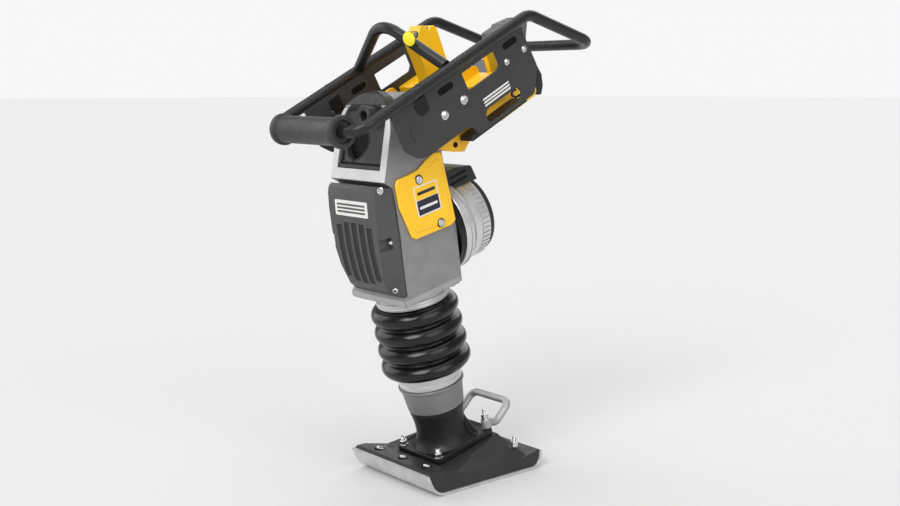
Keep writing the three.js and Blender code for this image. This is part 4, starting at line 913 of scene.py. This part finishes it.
def motor():
    place = shifted(LEG, z=MOTOR_UP)

    def turned(name, profile, material, nodes):
        return lathe(name, profile, material, "crankcase", place, AXIS_Y, nodes, segments=128)

    turned("motor_seal_skin", [
        (90, 88.5), (106.6, 88.5), (107.8, 90), (107.8, 94), (106.4, 95.5), (106.4, 97.5), (107.8, 99),
        (107.8, 103.6), (90, 103.6),
    ], RUBBER, ("motor_seal",))
    turned("motor_flange_skin", [
        (90, 104.4), (107.6, 104.4), (108.8, 106), (108.8, 117), (106, 118.2), (106, 120.4),
        (108.8, 121.6), (108.8, 127), (107, 130), (104.4, 132), (97, 132.4), (96, 133.6), (90, 133.6),
    ], TURNED, ("motor_flange",))
    turned("motor_housing_skin", [
        (91, 134.4), (95.6, 134.4), (95.6, 136.4), (97.6, 137.6), (97.6, 139), (100.6, 140),
        (100.4, 146), (99.6, 160), (96.6, 162), (96.6, 187), (95.4, 189.6), (91, 189.6),
    ], TURNED, ("motor_housing",))
    fins = []
    for i in range(FIN_COUNT):
        fin = block_mesh((-3.2, 163, 96), (3.2, 186, 99.4))
        fin.transform(Matrix.Rotation(2 * math.pi * (i + 0.5) / FIN_COUNT, 4, "Y"))
        fins.append(fin)
    finish_piece("motor_fins", joined(*fins), place, TURNED, "crankcase", bevel=0.5)
    turned("motor_rear_cap_skin", [
        (0, 190.5), (93.4, 190.5), (94.4, 192), (94.4, 199), (92.6, 203), (88, 205.8), (62, 205.8),
        (59, 203.2), (34, 203.2), (32, 204.6), (12, 204.6), (10.5, 203), (0, 203),
    ], DARK, ("motor_rear_cap",))
    for i in range(CAP_SCREW_COUNT):
        angle = 2 * math.pi * (i + 0.5) / CAP_SCREW_COUNT
        at = (CAP_SCREW_RING * math.sin(angle), 205.6, MOTOR_UP + CAP_SCREW_RING * math.cos(angle))
        cap_screw(f"motor_cap_screw_{i}", LEG, at, (0, 1, 0), "crankcase", 3.4, 2.4)
    refined("motor_connector_box", DARK, "crankcase", bevel=2.0, segments=3)
    for side, way in SIDES:
        for i, up in enumerate((662, 676)):
            # Near-black strips for the slots in the box: painted shade.
            outline = ((126, up, 2), (178, up + 5, 2), (178, up + 10, 2), (126, up + 5, 2))
            slab(f"connector_slot_shade_{side}_{i}", [outline], *on_side(way, 57.6, 58.9), PAINTED_SHADE, "crankcase",
                 bevel=0.3)


MOUNT_SPOTS = (("front", (35, -80)), ("rear", (96, -77)))  # along the handle and out of it


def mounts():
    refined("mount_yoke", YELLOW_PAINT, "crankcase", bevel=1.8, segments=3)
    profile = ((0, 105.4), (20, 105.4), (20, 108.6), (19, 109.4), (17.4, 116), (16.7, 127.5),
               (17.4, 139), (19, 145.6), (20, 146.4), (20, 149.6), (0, 149.6))
    for side, way in SIDES:
        turn = AXIS_X if way > 0 else AXIS_X.inverted()
        for where, spot in MOUNT_SPOTS:
            lathe(f"mount_{where}_{side}_skin", profile, RUBBER, "crankcase", shifted(HANDLE, 0, *spot),
                  turn, (f"rubber_mount_{where}_{side}",), 56)
        # A near-black disc for the hole in the yoke: painted shade.
        cap_screw(f"yoke_hole_shade_{side}", HANDLE, (way * 105, 68, -172), (way, 0, 0), "crankcase", 5, 1.5,
                  PAINTED_SHADE)


# ---------------------------------------------------------------- handle

def tubes():
    for side, way in SIDES:
        route = bent_route([(way * TUBE_X, -4.3, 0), (way * TUBE_X, ROLLER_ALONG, 0),
                            (way * 92, ROLLER_ALONG, 0)], 40)
        finish_piece(f"front_tube_skin_{side}", tube_mesh(route, TUBE_RADIUS), HANDLE, TUBE, "handle",
                     (f"front_tube_{side}",), sharp=50)
        lathe(f"tube_joint_{side}", [(12.6, -1.6), (13.3, -1.2), (13.3, 1.2), (12.6, 1.6)], TUBE,
              "handle", shifted(HANDLE, way * TUBE_X, -4), AXIS_Y, segments=48)
    left, right = ([(way * TUBE_X, -3.7, 0), (way * TUBE_X, 343, 0), (way * TUBE_X, 502, -152)]
                   for way in (1, -1))
    loop = tube_mesh(bent_route([*left, *right[::-1]], 48), TUBE_RADIUS)
    finish_piece("rear_loop_skin", loop, HANDLE, TUBE, "handle", ("rear_loop_tube",), sharp=50)


def lift_bail():
    """A bent tube whose ends stand on top of the two side tubes."""
    apex = Vector((0, BAIL_ALONG, 118))
    ends = []
    for way in (1, -1):
        foot = Vector((way * TUBE_X, BAIL_ALONG + 4, 0))
        ends.append(foot + (apex - foot).normalized() * (TUBE_RADIUS + 0.5))
    bail = tube_mesh(bent_route([ends[0], apex, ends[1]], 70), TUBE_RADIUS)
    finish_piece("lift_bail_skin", bail, HANDLE, TUBE, "handle", ("lift_bail",), sharp=50)


def roller():
    near_end = ((13.2, -105), (23, -105), (24.5, -111.6), (31, -111.6), (33.4, -110.4), (33.9, -108),
                (33.9, -101), (32.6, -99), (29.8, -97.6), (29, -94))
    far_end = [(radius, -x) for radius, x in near_end[::-1]]
    lathe("roller_skin", [*near_end, *far_end], ROLLER_RUBBER, "roller", shifted(HANDLE, y=ROLLER_ALONG),
          AXIS_X, ("roller",))


# The side plates: corners along the handle and out of it.
PLATE_EDGE = ((-91, -7), (-93, -94, 24), (-67, -126, 26), (-40, -135, 24), (79, -134, 6),
              (91, -141, 6), (101, -163, 6), (287, -165, 12), (322, -112, 10), (318, -60, 6), (316, -7))
OBLONG_HOLES = (((48, -33), (78, -33)), ((254, -32), (285, -32)))
PLATE_HOLES = (
    ((-30, -24, 3), (-26, -44, 5), (-18, -52, 6), (2, -50, 6), (5, -40, 5), (5, -24, 3)),
    ((117, -26, 3), (118, -67, 6), (211, -67, 8), (222, -56, 6), (222, -26, 3)),
    ((147, -127, 6), (137, -137, 6), (138, -152, 6), (147, -158, 4), (238, -158, 6), (254, -142, 6),
     (246, -127, 5)),
    *(slot_hole(*ends, 15) for ends in OBLONG_HOLES),
    slot_hole((-62, -64), (-60, -92), 3),
)
STRAP = ((-27, -16, 3), (8, -16, 3), (6, -52, 6), (-16, -55, 8), (-27, -40, 5))
HOOK = ((262, -150), (238, -148), (229, -138), (236, -131), (246, -133))


def side_plates():
    for side, way in SIDES:
        slab(f"side_plate_skin_{side}", [PLATE_EDGE, *PLATE_HOLES], *on_side(way, 150, 155), PLATE,
             "handle", HANDLE, bevel=0.9, nodes=(f"side_plate_{side}",))
        slab(f"strap_{side}", [STRAP], *on_side(way, 148.6, 156.5), RUBBER, "handle", HANDLE, bevel=2)
        for i, ends in enumerate(OBLONG_HOLES):
            slab(f"slot_shadow_{side}_{i}", [slot_hole(*ends, 15.4)], *on_side(way, 151.0, 153.4), PAINTED_SHADE,
                 "handle", HANDLE, bevel=0.2)
        for i, out in enumerate((-118, -111, -104)):
            stripe = ((142, out - 2, 1), (226, out - 2, 1), (230, out + 2, 1), (146, out + 2, 1))
            slab(f"plate_stripe_{side}_{i}", [stripe], *on_side(way, 154.8, 155.6), LABEL_WHITE, "handle",
                 HANDLE, bevel=0.2)
        hook = tube_mesh(bent_route([(way * 147, *spot) for spot in HOOK], 3, 4), 2.6)
        finish_piece(f"window_hook_{side}", hook, HANDLE, RUBBER, "handle")
        outward = (way, 0, 0)
        for i, (_, spot) in enumerate(MOUNT_SPOTS):
            hex_bolt(f"plate_bolt_{side}_{i}", HANDLE, (way * PLATE_FASTENER_X, *spot), outward, "handle",
                     14, 6.5, 10)
        for i, spot in enumerate(((243, -64), (302, -63))):
            cap_screw(f"plate_screw_{side}_{i}", HANDLE, (way * PLATE_FASTENER_X, *spot), outward,
                      "handle", 6, 4)


def controls():
    for node, material, bevel in (("control_base", YELLOW, 2.6), ("control_tower", YELLOW, 2.0),
                                  ("battery_tub", YELLOW, 2.2), ("belly_guard", DARK, 1.6)):
        refined(node, material, "handle", bevel=bevel, segments=3)
    refined("battery_pack", GREY, "battery", bevel=2.0, segments=3)
    refined("battery_latch", DARK, "latch", bevel=3, segments=4)
    lathe("latch_hinge", [(0, -62), (4.4, -62), (4.4, 62), (0, 62)], ZINC, "handle",
          shifted(HANDLE, 0, 356, -201), AXIS_X, segments=32)
    for side, way in SIDES:
        slab(f"orange_strip_{side}", [rectangle(178, -95, 230, -84, 3)], *on_side(way, 61.6, 62.9),
             ORANGE, "handle", HANDLE, bevel=0.4)


def buttons():
    """Stop and start on the slanted front of the tower, in one dark surround."""
    outward = (0, -math.sin(math.radians(45)), math.cos(math.radians(45)))
    reach = 9
    cap = [(0, -3.8), (6.9, -3.8), (6.9, 2.0), (6.2, 3.0), (4.5, 3.4), (0, 3.1)]
    for name, x, material in (("stop", -reach, RED), ("start", reach, GREY)):
        finish_piece(f"{name}_button_skin", lathe_mesh(cap, segments=48),
                     placed(HANDLE, (x, *BUTTONS), outward), material, name, (f"{name}_button",))
    rings = [slot_hole((-reach, 0), (reach, 0), width) for width in (19.4, 16.6)]
    finish_piece("button_surround", slab_mesh(rings, -0.4, 1.2, THICK_Z, 0.4),
                 placed(HANDLE, (0, *BUTTONS), outward), DARK, "handle")


def bail_tag():
    tag = lathe_mesh([(0, 0), (15, 0), (15, 1.2), (14.3, 1.6), (0, 1.6)], segments=48)
    place = placed(HANDLE, (92, BAIL_ALONG - TUBE_RADIUS - 1.2, 79), (0.25, -1, 0.2))
    finish_piece("bail_tag", tag, place, TAG, "handle")


def tower_pin():
    lathe("tower_pin", [(0, -14), (4.2, -14), (4.2, 14), (0, 14)], STEEL, "handle",
          shifted(HANDLE, 0, 184, 50), AXIS_X, segments=32)


# ---------------------------------------------------------------- inside the machine

def leg_span(name):
    """The lowest and highest millimetre of a part, measured along the leg."""
    heights = [(LEG.inverted() @ vertex.co).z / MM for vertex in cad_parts[name].data.vertices]
    return min(heights), max(heights)


def springs():
    """Coils inside the cylinder, between the piston and the two ends of the foot.
    """
    coil_radius, wire_radius, steps_per_turn = 30, 4.8, 24
    for name, turns, piston_on_top in (("lower_spring", 6, True), ("upper_spring", 4, False)):
        low, high = leg_span(name)
        first, last = low + 5, high - 5
        steps = turns * steps_per_turn
        route = []
        for i in range(steps + 1):
            angle = 2 * math.pi * turns * i / steps
            route.append((coil_radius * math.cos(angle), coil_radius * math.sin(angle),
                          first + (last - first) * i / steps))
        coil = finish_piece(f"{name}_skin", tube_mesh(route, wire_radius), LEG, SPRING, None, (name,),
                            sharp=60)
        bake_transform(coil)


def hidden_parts():
    """Parts inside the machine, which only need their finish."""
    for name in ("spring_cylinder", "spring_cylinder_cap", "ram_rod", "spring_piston",
                 "wrist_pin_rear", "wrist_pin_front", "crank_gear", "crankshaft", "connecting_rod",
                 "drive_pinion", "motor_rotor", "guide_tube", "motor_stator", "crank_bearing",
                 "pinion_bearing"):
        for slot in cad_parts[name].material_slots:
            slot.material = STEEL


studio()
shoe()
foot_casting()
foot_rings()
foot_studs_and_loop()
bellows()
case()
front_cover()
top_cover()
side_panels()
rings_under_case()
motor()
mounts()
tubes()
lift_bail()
roller()
side_plates()
controls()
buttons()
bail_tag()
tower_pin()
springs()
hidden_parts()

bpy.context.view_layer.update()
